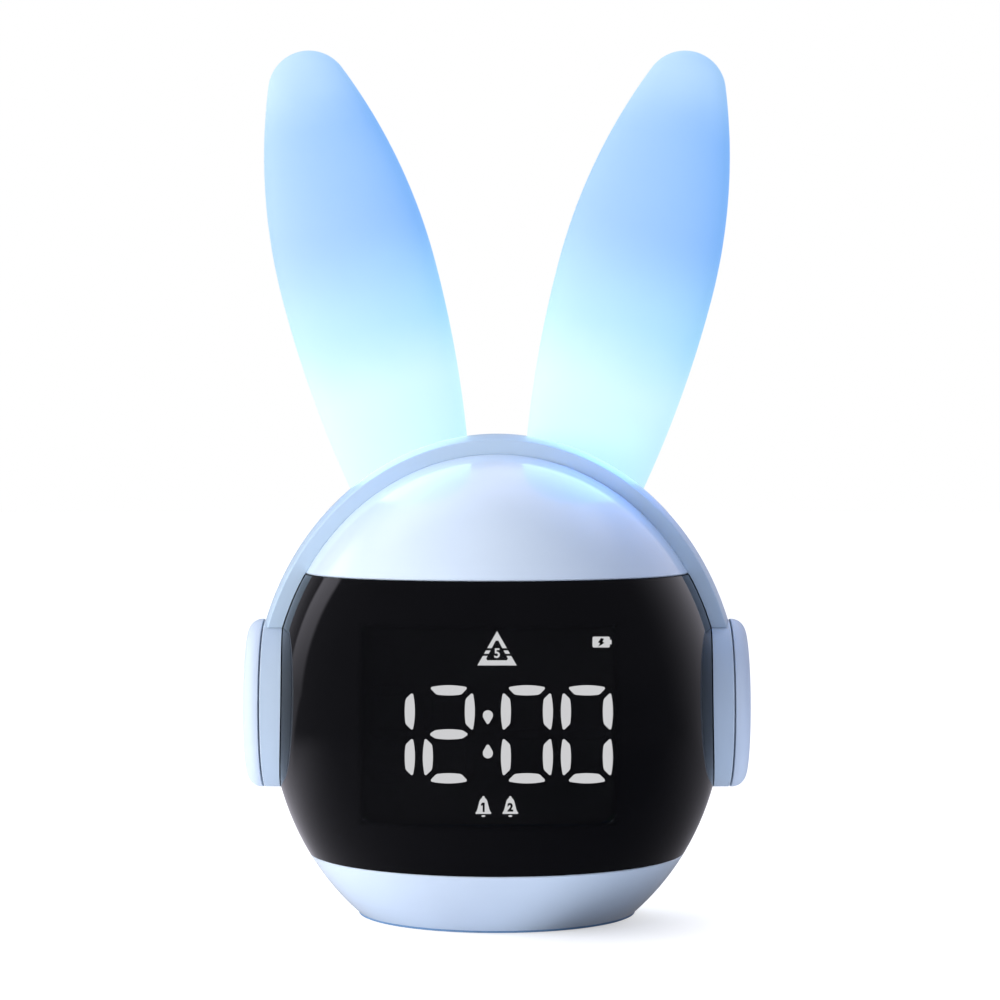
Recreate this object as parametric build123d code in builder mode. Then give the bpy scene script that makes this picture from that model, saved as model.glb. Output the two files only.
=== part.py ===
from build123d import *
import os
from math import cos, radians, sin, sqrt

# Bedside clock for a child: a ball-shaped head with a wrap-round dark lens, a headband with two
# ear cups that press as keys, and two tall hollow ears lit from their feet.
# Millimetres. +Z is up, the face looks along -Y, and the origin is on the table under the head.

# ---------------------------------------------------------------- head
head_radius = 52.1            # half width at the widest level
head_rise = 58.9              # half height, before the bottom is cut flat
head_centre_z = 47.3
shell_bottom_z = 0.7          # the foot ring holds the shell this far off the table
shell_wall = 2.2
carrier_wall = 1.6            # wall that the lens is glued to
fit_gap = 0.15                # clearance between parts that do not move
close_gap = 0.05              # clearance round screw threads, diffusers and the battery
run_past = 1.0                # how far a cut runs past the face that it opens

# ---------------------------------------------------------------- lens
lens_low_z = 14.2
lens_high_z = 78.3
lens_thickness = 1.8
glue_gap = 0.1
recess_bevel = 0.3            # on the shell's edges above and below the lens

# ---------------------------------------------------------------- display
display_depth = 10.0          # light wells, from their face to the board
board_corner_gap = 1.9        # between the display board's corners and the shell
display_half_width = 28.6
display_half_height = 22.5
display_centre_z = 47.0
display_corner = 6.0
board_thickness = 1.6
digit_height = 21.6
digit_width = 11.5
digit_pitch = 13.15           # between the two digits of a pair
pair_pitch = 30.26            # between the hour pair and the minute pair
colon_x = -1.96
digits_drop = 2.76            # the digits' middle lies this far below the display's
segment_width = 2.3
segment_length = 8.6
segment_rise = 5.0            # from a digit's middle to the middles of its upright segments
segment_inner_length = 5.5
segment_outer_bow = 0.5       # how far a segment's outer side bulges
segment_inner_bow = 0.2
segment_shoulder_round = 1.2
segment_tip_round = 0.35
middle_length = 8.8
middle_taper = 1.35           # length of each of its pointed ends
middle_bow = 0.25
diffuser_thickness = 1.2
colon_radius = 1.15
colon_drop = 1.9              # from a drop's centre to its point
colon_point_radius = 0.4
colon_spacing = 8.3
triangle_x = 0.05
triangle_rise = 16.1          # above the display's centre
triangle_width = 8.6
triangle_height = 7.5
battery_mark_x = 22.84
battery_mark_rise = 17.5
battery_mark = (4.0, 2.4)
bell_spacing = 5.9
bell_drop = 18.55
bell_width = 3.5
bell_height = 4.2
led_size = 1.2
led_height = 0.7
board_half_width = 36.0
board_half_height = 23.0
board_corner = 2.0
board_boss_x = 33.4
board_boss_z = 17.0           # above and below the display's centre
board_boss_radius = 2.2
small_screw_radius = 0.9
small_screw_length = 6.0
small_head_radius = 1.9
small_head_height = 1.3

# ---------------------------------------------------------------- base
lip_width = 8.9               # inward lip at the shells' bottom edge
lip_thickness = 2.0
base_plate_thickness = 2.0
base_screw_inset = 6.5        # from that edge to the screws
base_screw_radius = 1.1
base_screw_length = 7.0
base_boss_radius = 2.8
base_boss_height = 5.4
countersink_radius = 2.2
foot_inset = 10.4             # from that edge to the foot ring
foot_width = 6.0
foot_groove_depth = 0.8
foot_chamfer = 0.3
battery_radius = 9.1
battery_length = 65.0
battery_edge = 0.6
battery_button_radius = 3.0
battery_button_height = 1.2
battery_centre_z = 15.5
cradle_x = 17.5
cradle_thickness = 3.0
cradle_height = 9.0

# ---------------------------------------------------------------- screws that close the shells
shell_screw_heights = (33.0, 74.0)
shell_screw_inset = 9.0       # from the side of the head to the screws
shell_boss_radius = 3.2
shell_boss_gap = 0.4          # between the bosses and the display board
shell_screw_radius = 1.25
shell_screw_length = 11.0
shell_head_radius = 2.3
shell_head_height = 1.8
shell_seat_y = 4.0            # the screw heads sit this far behind the seam

# ---------------------------------------------------------------- controls on the back
facet_cut = 2.8               # depth of the flat that the keys stand on
controls_depth = 10.3         # from that flat to the main board's inner face
main_board_half_width = 19.5
main_board_half_height = 20.0
main_boss_x = 16.0
main_boss_z = 17.2
switch_size = 6.0
switch_height = 3.5
key_radius = 2.8
centre_key_radius = 4.0
key_circle = 9.3
key_proud = 1.6
key_flange = 1.1
key_flange_thickness = 1.0
key_gap = 0.1
key_rest_gap = 0.3            # between a key's flange and the shell
key_travel = 0.5
plunger_radius = 1.6
plunger_dip = 0.7             # how far a plunger reaches into its switch at rest
well_floor_gap = 0.3          # left under a plunger at the end of its travel
key_edge = 0.5
slider_drop = 15.2            # the power slider's height above the keys' centre
slider_travel = 2.0
slider_length = 2.6
slider_height = 2.0
slider_flange_length = 8.2
slider_flange_height = 3.0
power_switch_length = 8.6
power_switch_width = 3.4
usb_drop = 15.2               # the socket's distance below the keys' centre
usb_width = 9.0
usb_height = 3.3
usb_wall = 0.35
usb_tongue_width = 6.7
usb_tongue_height = 0.7
chip_height = 1.5

# ---------------------------------------------------------------- speaker
speaker_z = 14.0
speaker_radius = 9.0
speaker_seat_depth = 3.6      # from the shell's outside to the speaker's rim
speaker_rim = 1.2
speaker_ledge = 1.5           # step inside the shell's collar that the speaker's rim seats on
speaker_depth = 6.0
basket_wall = 0.6
cone_edge = 1.2               # flat edge of the basket outside the cone
cone_wall = 0.5
cone_drop = 2.6
magnet_radius = 4.6
magnet_height = 3.0
grille_hole_radius = 0.75
grille_pitch = 2.6
grille_rows = 5

# ---------------------------------------------------------------- headband and ear cups
band_height = 4.0             # along its middle
band_side_height = 2.6        # along its edges
band_half_width = 8.0
band_edge = 0.35
cup_centre_z = 48.3
cup_radius = 19.3
cup_proud = 1.0               # the ring's outer face stands this far out of the head's side
cup_gap = 0.5                 # between the ring and the cap
gap_chamfer = 0.12            # on the ring's and the cap's edges at that gap
cap_thickness = 3.9
cap_rim = 0.35                # straight part behind the cap's rounded edge, with its chamfer
cap_edge = 3.6
cap_dome = 0.4
cap_skin = 2.0
cap_travel = 0.35
skirt_outer_radius = 17.0
skirt_wall = 1.5
skirt_depth = 1.7
skirt_gap = 0.12
spigot_radius = 7.8
spigot_wall = 1.3
spigot_length = 7.9           # from the ring's outer face to the spigot's end
cup_board_thickness = 1.2

# ---------------------------------------------------------------- ears
ear_tilt = 14.75              # outward lean
ear_foot_x = 20.0             # where the ear's axis meets the head
ear_y = 15.0
ear_length = 104.2            # from the head to the tip
ear_half_width = 18.5
ear_half_thickness = 8.0
ear_widest = 48.6             # above the head
ear_tip_radius = 9.6
ear_root = 16.0               # how far the outline runs on, below the axis's foot
ear_root_half_width = 10.6
ear_wall = 1.8
post_half_width = 9.3
post_half_thickness = 3.2
post_height = 9.0
post_wall = 1.4
post_flange = 3.0             # the flange under the shell is this much wider than the post
post_flange_depth = 8.0
ear_board_thickness = 1.0
ear_led_spacing = 5.2
ear_led_size = 2.6
ear_led_height = 1.2

section_width = 3 * head_radius
os.makedirs("parts", exist_ok=True)


# ================================================================ shared shapes
def radius_at(z, inset=0.0):
    """Radius of the head at a height, with its surface pulled in by inset."""
    return (head_radius - inset) * sqrt(1 - ((z - head_centre_z) / (head_rise - inset)) ** 2)


def height_over(x, y):
    """Height of the head's surface above a point of the table."""
    return head_centre_z + head_rise * sqrt(1 - (x ** 2 + y ** 2) / head_radius ** 2)


def oval(inset=0.0, mode=Mode.ADD):
    """The head's upright section, with its surface pulled in by inset."""
    with Locations((0, head_centre_z)):
        Ellipse(head_radius - inset, head_rise - inset, mode=mode)


def keep_heights(z_low, z_high):
    """Keeps what a section has between two heights, on the +X side of its axis."""
    with Locations((section_width / 2, (z_low + z_high) / 2)):
        Rectangle(section_width, z_high - z_low, mode=Mode.INTERSECT)


def ball(inset):
    """The head as a solid ball, with its surface pulled in by inset and its bottom cut flat."""
    with BuildPart() as solid:
        with BuildSketch(Plane.XZ):
            oval(inset)
            keep_heights(shell_bottom_z, head_centre_z + head_rise - inset + 1)
        revolve(axis=Axis.Z)
    return solid.part


def back_plane(y):
    """A plane that looks backwards: its x is -X, its y is +Z."""
    return Plane(origin=(0, y, 0), x_dir=(-1, 0, 0), z_dir=(0, 1, 0))


def write(builder, name):
    """Labels a finished piece and writes its STEP file."""
    builder.part.label = name
    export_step(builder.part, f"parts/{name}.step")


head_ball = ball(0)
inner_ball = ball(shell_wall + fit_gap)
clear_ball = ball(-fit_gap)
lens_seat = lens_thickness + glue_gap
base_lip_z = shell_bottom_z + base_plate_thickness
bottom_radius = radius_at(shell_bottom_z)
base_screw_spots = PolarLocations(bottom_radius - base_screw_inset, 4, start_angle=45)
foot_outer_radius = bottom_radius - foot_inset
foot_inner_radius = foot_outer_radius - foot_width
shell_screw_spots = [
    (side * (radius_at(z) - shell_screw_inset), z) for z in shell_screw_heights for side in (-1, 1)
]
# the display stands as far forward as its board's corners let it
carrier_depth = lens_seat + carrier_wall
corner_level_radius = radius_at(display_centre_z + board_half_height, carrier_depth)
display_back_y = board_corner_gap - sqrt(corner_level_radius ** 2 - board_half_width ** 2)
display_front_y = display_back_y - display_depth
shell_boss_depth = -display_back_y - board_thickness - shell_boss_gap
display_x = colon_x
display_boss_spots = [
    (side * board_boss_x, display_centre_z + rise * board_boss_z) for side in (-1, 1) for rise in (-1, 1)
]


with BuildPart() as base_lip:
    # inward lip with screw bosses, on which the base plate seats from below
    with BuildSketch(Plane.XY.offset(base_lip_z)):
        Circle(radius_at(base_lip_z + lip_thickness))
        Circle(bottom_radius - lip_width, mode=Mode.SUBTRACT)
    extrude(amount=lip_thickness)
    with BuildSketch(Plane.XY.offset(base_lip_z + lip_thickness)):
        with base_screw_spots:
            Circle(base_boss_radius)
    extrude(amount=base_boss_height)
    with BuildSketch(Plane.XY.offset(base_lip_z)):
        with base_screw_spots:
            Circle(base_screw_radius + close_gap)
    extrude(amount=base_screw_length, mode=Mode.SUBTRACT)

with BuildPart() as side_bore:
    # holes through both sides of the head for the ear cups' spigots
    with BuildSketch(Plane.YZ):
        with Locations((0, cup_centre_z)):
            Circle(spigot_radius + fit_gap)
    extrude(amount=section_width / 2, both=True)


# ================================================================ front shell
with BuildPart() as front_shell:
    with BuildSketch(Plane.XZ):
        oval()
        oval(shell_wall, mode=Mode.SUBTRACT)
        keep_heights(shell_bottom_z, head_centre_z + head_rise)
    revolve(axis=Axis.Z)
    # the carrier steps inwards behind the lens
    with BuildSketch(Plane.XZ):
        oval(lens_seat)
        oval(carrier_depth, mode=Mode.SUBTRACT)
        keep_heights(lens_low_z - carrier_wall, lens_high_z + carrier_wall)
    revolve(axis=Axis.Z)
    add(base_lip.part)
    # bosses: four long ones meet the rear shell, four short ones hold the display
    with BuildSketch(Plane.XZ):
        with Locations(*shell_screw_spots):
            Circle(shell_boss_radius)
    extrude(amount=shell_boss_depth)
    with BuildSketch(Plane.XZ.offset(-display_back_y)):
        with Locations(*display_boss_spots):
            Circle(board_boss_radius)
    extrude(amount=head_radius)
    with BuildSketch(Plane.XZ):
        with Locations(*shell_screw_spots):
            Circle(shell_screw_radius + close_gap)
    extrude(amount=shell_screw_length - shell_seat_y + run_past, mode=Mode.SUBTRACT)
    with BuildSketch(Plane.XZ.offset(-display_back_y)):
        with Locations(*display_boss_spots):
            Circle(small_screw_radius + close_gap)
    extrude(amount=small_screw_length, mode=Mode.SUBTRACT)
    # window for the display, then the recess for the lens
    with BuildSketch(Plane.XZ):
        with Locations((display_x, display_centre_z)):
            RectangleRounded(
                2 * (display_half_width + 2 * fit_gap),
                2 * (display_half_height + 2 * fit_gap),
                display_corner,
            )
    extrude(amount=section_width, mode=Mode.SUBTRACT)
    with BuildSketch(Plane.XZ):
        oval(-run_past)
        oval(lens_seat, mode=Mode.SUBTRACT)
        keep_heights(lens_low_z, lens_high_z)
        for z, side in ((lens_low_z, -1), (lens_high_z, 1)):
            bevel_z = z + side * recess_bevel
            Polygon(
                (radius_at(z) - recess_bevel, z),
                (radius_at(z) + run_past, z),
                (radius_at(bevel_z), bevel_z),
                align=None,
            )
    revolve(axis=Axis.Z, mode=Mode.SUBTRACT)
    add(side_bore.part, mode=Mode.SUBTRACT)
    add(head_ball, mode=Mode.INTERSECT)
    split(bisect_by=Plane.XZ, keep=Keep.TOP)
write(front_shell, "front_shell")

with BuildPart() as lens:
    with BuildSketch(Plane.XZ):
        oval()
        oval(lens_thickness, mode=Mode.SUBTRACT)
        keep_heights(lens_low_z + fit_gap, lens_high_z - fit_gap)
    revolve(axis=Axis.Z)
    add(side_bore.part, mode=Mode.SUBTRACT)
    split(bisect_by=Plane.XZ, keep=Keep.TOP)
write(lens, "lens")


# ================================================================ rear shell
speaker_normal = (
    0,
    radius_at(speaker_z) / head_radius ** 2,
    (speaker_z - head_centre_z) / head_rise ** 2,
)
speaker_plane = Plane(
    origin=(0, radius_at(speaker_z), speaker_z), x_dir=(1, 0, 0), z_dir=speaker_normal
)
facet_y = head_radius - facet_cut
facet_centre_z = head_centre_z
facet_half_width = sqrt(head_radius ** 2 - facet_y ** 2)
main_board_y = facet_y - controls_depth
key_spots = {
    "light_key": (0, 0),
    "up_key": (0, key_circle),
    "down_key": (0, -key_circle),
    "set_key": (key_circle, 0),
    "alarm_key": (-key_circle, 0),
}
key_radii = {name: key_radius for name in key_spots}
key_radii["light_key"] = centre_key_radius
main_boss_spots = [
    (side * main_boss_x, facet_centre_z + rise * main_boss_z) for side in (-1, 1) for rise in (-1, 1)
]
ear_plane = Plane(
    origin=(ear_foot_x, ear_y, height_over(ear_foot_x, ear_y)),
    x_dir=(cos(radians(ear_tilt)), 0, -sin(radians(ear_tilt))),
    z_dir=(sin(radians(ear_tilt)), 0, cos(radians(ear_tilt))),
)


def post_hole():
    """Oval hole in the shell that an ear's post stands through, on the +X side."""
    with BuildPart() as hole:
        with BuildSketch(ear_plane.offset(-post_flange_depth)):
            Ellipse(post_half_width + fit_gap, post_half_thickness + fit_gap)
        extrude(amount=2 * post_flange_depth)
    return hole.part


ear_hole = post_hole()

with BuildPart() as rear_shell:
    with BuildSketch(Plane.XZ):
        oval()
        oval(shell_wall, mode=Mode.SUBTRACT)
        keep_heights(shell_bottom_z, head_centre_z + head_rise)
    revolve(axis=Axis.Z)
    add(base_lip.part)
    # the wall is thickened inside where the flat cuts it, and where boards and speaker seat
    with BuildSketch(back_plane(facet_y - shell_wall)):
        with Locations((0, facet_centre_z)):
            Ellipse(facet_half_width + fit_gap, facet_half_width * head_rise / head_radius + fit_gap)
    extrude(amount=2 * shell_wall)
    with BuildSketch(back_plane(main_board_y + board_thickness)):
        with Locations(*main_boss_spots):
            Circle(board_boss_radius)
    extrude(amount=head_radius)
    with BuildSketch(back_plane(0)):
        with Locations(*shell_screw_spots):
            Circle(shell_boss_radius)
    extrude(amount=head_radius)
    with BuildSketch(speaker_plane.offset(-speaker_seat_depth - speaker_rim)):
        Circle(speaker_radius + fit_gap + speaker_rim)
    extrude(amount=2 * speaker_seat_depth)
    with BuildSketch(speaker_plane.offset(-speaker_seat_depth)):
        Circle(speaker_radius - speaker_ledge)
    extrude(amount=speaker_seat_depth - shell_wall, mode=Mode.SUBTRACT)
    with BuildSketch(speaker_plane.offset(-speaker_seat_depth - speaker_rim)):
        Circle(speaker_radius + fit_gap)
    extrude(amount=speaker_rim, mode=Mode.SUBTRACT)
    # screw passages, open at the back
    with BuildSketch(back_plane(0)):
        with Locations(*shell_screw_spots):
            Circle(shell_screw_radius + fit_gap)
    extrude(amount=head_radius, mode=Mode.SUBTRACT)
    with BuildSketch(back_plane(shell_seat_y)):
        with Locations(*shell_screw_spots):
            Circle(shell_head_radius + fit_gap)
    extrude(amount=head_radius, mode=Mode.SUBTRACT)
    with BuildSketch(back_plane(main_board_y + board_thickness)):
        with Locations(*main_boss_spots):
            Circle(small_screw_radius + close_gap)
    extrude(amount=small_screw_length - board_thickness, mode=Mode.SUBTRACT)
    # speaker grille: a round patch of holes in a hexagonal pattern
    with BuildSketch(speaker_plane.offset(-speaker_seat_depth)):
        with HexLocations(grille_pitch / 2, grille_rows, grille_rows):
            Circle(grille_hole_radius)
        Circle(grille_rows * grille_pitch / 2 - grille_hole_radius / 2, mode=Mode.INTERSECT)
    extrude(amount=2 * speaker_seat_depth, mode=Mode.SUBTRACT)
    # holes through the flat
    with BuildSketch(back_plane(facet_y - 2 * shell_wall)):
        for name, (x, z) in key_spots.items():
            with Locations((-x, facet_centre_z + z)):
                Circle(key_radii[name] + key_gap)
        with Locations((0, facet_centre_z + slider_drop)):
            Rectangle(slider_length + slider_travel + 4 * fit_gap, slider_height + 2 * fit_gap)
        with Locations((0, facet_centre_z - usb_drop)):
            SlotOverall(usb_width + 2 * fit_gap, usb_height + 2 * fit_gap)
    extrude(amount=4 * shell_wall, mode=Mode.SUBTRACT)
    # outside: cut to the ball, then flatten the back
    add(head_ball, mode=Mode.INTERSECT)
    with BuildSketch(back_plane(facet_y)):
        with Locations((0, facet_centre_z)):
            Circle(head_radius)
    extrude(amount=shell_wall * 2, mode=Mode.SUBTRACT)
    add(side_bore.part, mode=Mode.SUBTRACT)
    add(ear_hole, mode=Mode.SUBTRACT)
    add(mirror(ear_hole, about=Plane.YZ, mode=Mode.PRIVATE), mode=Mode.SUBTRACT)
    split(bisect_by=Plane.XZ, keep=Keep.BOTTOM)
write(rear_shell, "rear_shell")


# ================================================================ base
with BuildPart() as base_plate:
    with BuildSketch(Plane.XY.offset(shell_bottom_z)):
        Circle(radius_at(shell_bottom_z, shell_wall) - fit_gap)
    extrude(amount=base_plate_thickness)
    with BuildSketch(Plane.XY.offset(shell_bottom_z)):
        Circle(foot_outer_radius + fit_gap)
        Circle(foot_inner_radius - fit_gap, mode=Mode.SUBTRACT)
    extrude(amount=foot_groove_depth, mode=Mode.SUBTRACT)
    # two saddles hold the battery
    with BuildSketch(Plane.XY.offset(base_lip_z)):
        with Locations((-cradle_x, 0), (cradle_x, 0)):
            Rectangle(cradle_thickness, 2 * battery_radius)
    extrude(amount=cradle_height)
    with BuildSketch(Plane.YZ):
        with Locations((0, battery_centre_z)):
            Circle(battery_radius + close_gap)
    extrude(amount=battery_length / 2, both=True, mode=Mode.SUBTRACT)
    with Locations(Plane(origin=(0, 0, shell_bottom_z), z_dir=(0, 0, -1))):
        with base_screw_spots:
            CounterSinkHole(base_screw_radius + fit_gap, countersink_radius + fit_gap)
write(base_plate, "base_plate")

with BuildPart() as foot_ring:
    with BuildSketch(Plane.XY):
        Circle(foot_outer_radius)
        Circle(foot_inner_radius, mode=Mode.SUBTRACT)
    extrude(amount=shell_bottom_z + foot_groove_depth)
    chamfer(foot_ring.edges().group_by(Axis.Z)[0], length=foot_chamfer)
write(foot_ring, "foot_ring")

with BuildPart() as base_screws:
    with BuildSketch(Plane.XY.offset(shell_bottom_z)):
        with base_screw_spots:
            Circle(base_screw_radius)
    extrude(amount=base_screw_length)
    with BuildSketch(Plane.XY.offset(shell_bottom_z)):
        with base_screw_spots:
            Circle(countersink_radius)
    extrude(amount=countersink_radius - base_screw_radius, taper=45)
write(base_screws, "base_screws")

with BuildPart() as battery_cell:
    with BuildSketch(Plane.YZ.offset(-battery_length / 2)):
        with Locations((0, battery_centre_z)):
            Circle(battery_radius)
    extrude(amount=battery_length)
    fillet(battery_cell.edges(), radius=battery_edge)
    with BuildSketch(Plane.YZ.offset(battery_length / 2)):
        with Locations((0, battery_centre_z)):
            Circle(battery_button_radius)
    extrude(amount=battery_button_height)
write(battery_cell, "battery_cell")

with BuildPart() as shell_screws:
    with BuildSketch(back_plane(shell_seat_y)):
        with Locations(*shell_screw_spots):
            Circle(shell_head_radius)
    extrude(amount=shell_head_height)
    with BuildSketch(back_plane(shell_seat_y - shell_screw_length)):
        with Locations(*shell_screw_spots):
            Circle(shell_screw_radius)
    extrude(amount=shell_screw_length)
write(shell_screws, "shell_screws")


# ================================================================ display
def segment_shape():
    """A digit's edge segment: pointed at both ends, both sides bowed and the longer one outside."""
    half_width = segment_width / 2
    tip = (segment_length / 2, segment_outer_bow - half_width)
    shoulder = (segment_inner_length / 2, half_width - segment_inner_bow)
    with BuildSketch() as shape:
        with BuildLine():
            outer = ThreePointArc((-tip[0], tip[1]), (0, -half_width), tip)
            inner = ThreePointArc(shoulder, (0, half_width), (-shoulder[0], shoulder[1]))
            Line(outer @ 1, inner @ 0)
            Line(inner @ 1, outer @ 0)
        make_face()
        fillet(shape.vertices().group_by(Axis.Y)[-1], radius=segment_shoulder_round)
        fillet(shape.vertices().group_by(Axis.Y)[0], radius=segment_tip_round)
    return shape.sketch


def middle_shape():
    """A digit's middle segment: a spindle with a point at each end."""
    half_width = segment_width / 2
    tip_x = middle_length / 2
    shoulder = (tip_x - middle_taper, half_width - middle_bow)
    with BuildSketch() as shape:
        with BuildLine():
            upper = ThreePointArc(shoulder, (0, half_width), (-shoulder[0], shoulder[1]))
            lower = ThreePointArc(
                (-shoulder[0], -shoulder[1]), (0, -half_width), (shoulder[0], -shoulder[1])
            )
            Polyline(upper @ 1, (-tip_x, 0), lower @ 0)
            Polyline(lower @ 1, (tip_x, 0), upper @ 0)
        make_face()
        rows = shape.vertices().group_by(Axis.Y)
        fillet(rows[0] + rows[-1], radius=segment_shoulder_round)
        columns = shape.vertices().group_by(Axis.X)
        fillet(columns[0] + columns[-1], radius=segment_tip_round)
    return shape.sketch


edge_segment = segment_shape()
middle_segment = middle_shape()
row_x = digit_width / 2 - segment_width / 2
row_z = digit_height / 2 - segment_width / 2
digit_centre_z = display_centre_z - digits_drop
# each segment of a digit: its centre, and the turn that puts its long side outside
segment_places = {
    "a": ((0, row_z), 180),
    "b": ((row_x, segment_rise), 90),
    "c": ((row_x, -segment_rise), 90),
    "d": ((0, -row_z), 0),
    "e": ((-row_x, -segment_rise), -90),
    "f": ((-row_x, segment_rise), -90),
}
digit_x = [
    display_x + pair * pair_pitch / 2 + place * digit_pitch / 2 for pair in (-1, 1) for place in (-1, 1)
]
shown = ["bc", "abged", "abcdef", "abcdef"]


def digit_segments(lit):
    """Draws all segments that are lit, or all that are dark, for the time 12:00."""
    for x, digit in zip(digit_x, shown):
        for letter, ((dx, dz), turn) in segment_places.items():
            if (letter in digit) == lit:
                with Locations(Location((x + dx, digit_centre_z + dz, 0), (0, 0, turn))):
                    add(edge_segment)
        if ("g" in digit) == lit:
            with Locations((x, digit_centre_z)):
                add(middle_segment)


def drop_shape():
    """A drop with its round end below its pointed end."""
    with BuildSketch() as shape:
        Circle(colon_radius)
        with Locations((0, colon_drop - colon_point_radius)):
            Circle(colon_point_radius)
        make_hull()
    return shape.sketch


colon_drop_shape = drop_shape()


def colon_dots():
    """The two drops between the hours and the minutes, with their points towards each other."""
    for side, turn in ((-1, 0), (1, 180)):
        with Locations(Location((colon_x, digit_centre_z + side * colon_spacing / 2, 0), (0, 0, turn))):
            add(colon_drop_shape)


triangle_spot = (triangle_x, display_centre_z + triangle_rise)
battery_mark_spot = (battery_mark_x, display_centre_z + battery_mark_rise)
bell_spots = [(side * bell_spacing / 2, display_centre_z - bell_drop) for side in (-1, 1)]


def icon_shapes():
    """Windows for the snooze triangle, the battery mark and the two alarm bells."""
    with Locations(triangle_spot):
        Polygon(
            (-triangle_width / 2, -triangle_height / 2),
            (triangle_width / 2, -triangle_height / 2),
            (0, triangle_height / 2),
            align=None,
        )
    with Locations(battery_mark_spot):
        Rectangle(*battery_mark)
    with Locations(*bell_spots):
        Polygon(
            (-bell_width / 2, -bell_height / 2),
            (bell_width / 2, -bell_height / 2),
            (bell_width / 4, bell_height / 2),
            (-bell_width / 4, bell_height / 2),
            align=None,
        )


with BuildPart() as display_frame:
    with BuildSketch(Plane.XZ.offset(-display_back_y)):
        with Locations((display_x, display_centre_z)):
            RectangleRounded(2 * display_half_width, 2 * display_half_height, display_corner)
        with BuildSketch(mode=Mode.SUBTRACT):
            digit_segments(True)
            digit_segments(False)
            colon_dots()
            icon_shapes()
    extrude(amount=display_back_y - display_front_y)
write(display_frame, "display_frame")

diffuser_plane = Plane.XZ.offset(-display_front_y - diffuser_thickness)
diffuser_gap = close_gap

with BuildPart() as lit_segments:
    with BuildSketch(diffuser_plane):
        with BuildSketch():
            digit_segments(True)
            colon_dots()
        offset(amount=-diffuser_gap, mode=Mode.REPLACE)
    extrude(amount=diffuser_thickness)
write(lit_segments, "lit_segments")

with BuildPart() as unlit_segments:
    with BuildSketch(diffuser_plane):
        with BuildSketch():
            digit_segments(False)
        offset(amount=-diffuser_gap, mode=Mode.REPLACE)
    extrude(amount=diffuser_thickness)
write(unlit_segments, "unlit_segments")

with BuildPart() as icon_windows:
    with BuildSketch(diffuser_plane):
        with BuildSketch():
            icon_shapes()
        offset(amount=-diffuser_gap, mode=Mode.REPLACE)
    extrude(amount=diffuser_thickness)
write(icon_windows, "icon_windows")

with BuildPart() as display_board:
    with BuildSketch(Plane.XZ.offset(-display_back_y - board_thickness)):
        with Locations((0, display_centre_z)):
            RectangleRounded(2 * board_half_width, 2 * board_half_height, board_corner)
        with Locations(*display_boss_spots):
            Circle(small_screw_radius + fit_gap, mode=Mode.SUBTRACT)
    extrude(amount=board_thickness)
write(display_board, "display_board")

led_spots = [triangle_spot, battery_mark_spot, *bell_spots]
led_spots += [(colon_x, digit_centre_z + side * colon_spacing / 2) for side in (-1, 1)]
for x in digit_x:
    led_spots += [(x + dx, digit_centre_z + dz) for (dx, dz), turn in segment_places.values()]
    led_spots.append((x, digit_centre_z))

with BuildPart() as display_leds:
    with BuildSketch(Plane.XZ.offset(-display_back_y)):
        with Locations(*led_spots):
            Rectangle(led_size, led_size)
    extrude(amount=led_height)
write(display_leds, "display_leds")


# ================================================================ main board and controls
board_face_y = main_board_y + board_thickness
switch_top_y = board_face_y + switch_height
flange_back_y = facet_y - shell_wall - key_rest_gap - key_flange_thickness
plunger_tip_y = switch_top_y - plunger_dip

with BuildPart() as main_board:
    with BuildSketch(back_plane(main_board_y)):
        with Locations((0, facet_centre_z)):
            RectangleRounded(2 * main_board_half_width, 2 * main_board_half_height, board_corner)
        with Locations(*main_boss_spots):
            Circle(small_screw_radius + fit_gap, mode=Mode.SUBTRACT)
    extrude(amount=board_thickness)
write(main_board, "main_board")

# each chip on the board's inner face: its place from the board's centre, then its width and height
chips = {
    "clock": ((0, 5), (8, 8)),
    "sound": ((-10, -6), (5, 6)),
    "charger": ((9, -8), (4, 4.4)),
    "coil": ((1, -9), (5, 5)),
}

with BuildPart() as board_chips:
    with BuildSketch(Plane.XZ.offset(-main_board_y)):
        for (x, z), size in chips.values():
            with Locations((x, facet_centre_z + z)):
                Rectangle(*size)
    extrude(amount=chip_height)
write(board_chips, "board_chips")

with BuildPart() as key_switches:
    with BuildSketch(back_plane(board_face_y)):
        for x, z in key_spots.values():
            with Locations((-x, facet_centre_z + z)):
                Rectangle(switch_size, switch_size)
    extrude(amount=switch_height)
    with BuildSketch(back_plane(plunger_tip_y - key_travel - well_floor_gap)):
        for x, z in key_spots.values():
            with Locations((-x, facet_centre_z + z)):
                Circle(plunger_radius + key_gap)
    extrude(amount=switch_height, mode=Mode.SUBTRACT)
write(key_switches, "key_switches")


def make_key(name):
    """A push key: proud cap, flange behind the shell, plunger into its switch."""
    x, z = key_spots[name]
    radius = key_radii[name]
    spot = (-x, facet_centre_z + z)
    with BuildPart() as key:
        with BuildSketch(back_plane(plunger_tip_y)):
            with Locations(spot):
                Circle(plunger_radius)
        extrude(amount=flange_back_y - plunger_tip_y)
        with BuildSketch(back_plane(flange_back_y)):
            with Locations(spot):
                Circle(radius + key_flange)
        extrude(amount=key_flange_thickness)
        with BuildSketch(back_plane(flange_back_y + key_flange_thickness)):
            with Locations(spot):
                Circle(radius)
        extrude(amount=facet_y + key_proud - flange_back_y - key_flange_thickness)
        fillet(key.edges().group_by(Axis.Y)[-1], radius=min(key_edge, key_proud / 2))
    write(key, name)


for key_name in key_spots:
    make_key(key_name)

slider_z = facet_centre_z + slider_drop
slider_rest_x = slider_travel / 2

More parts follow.
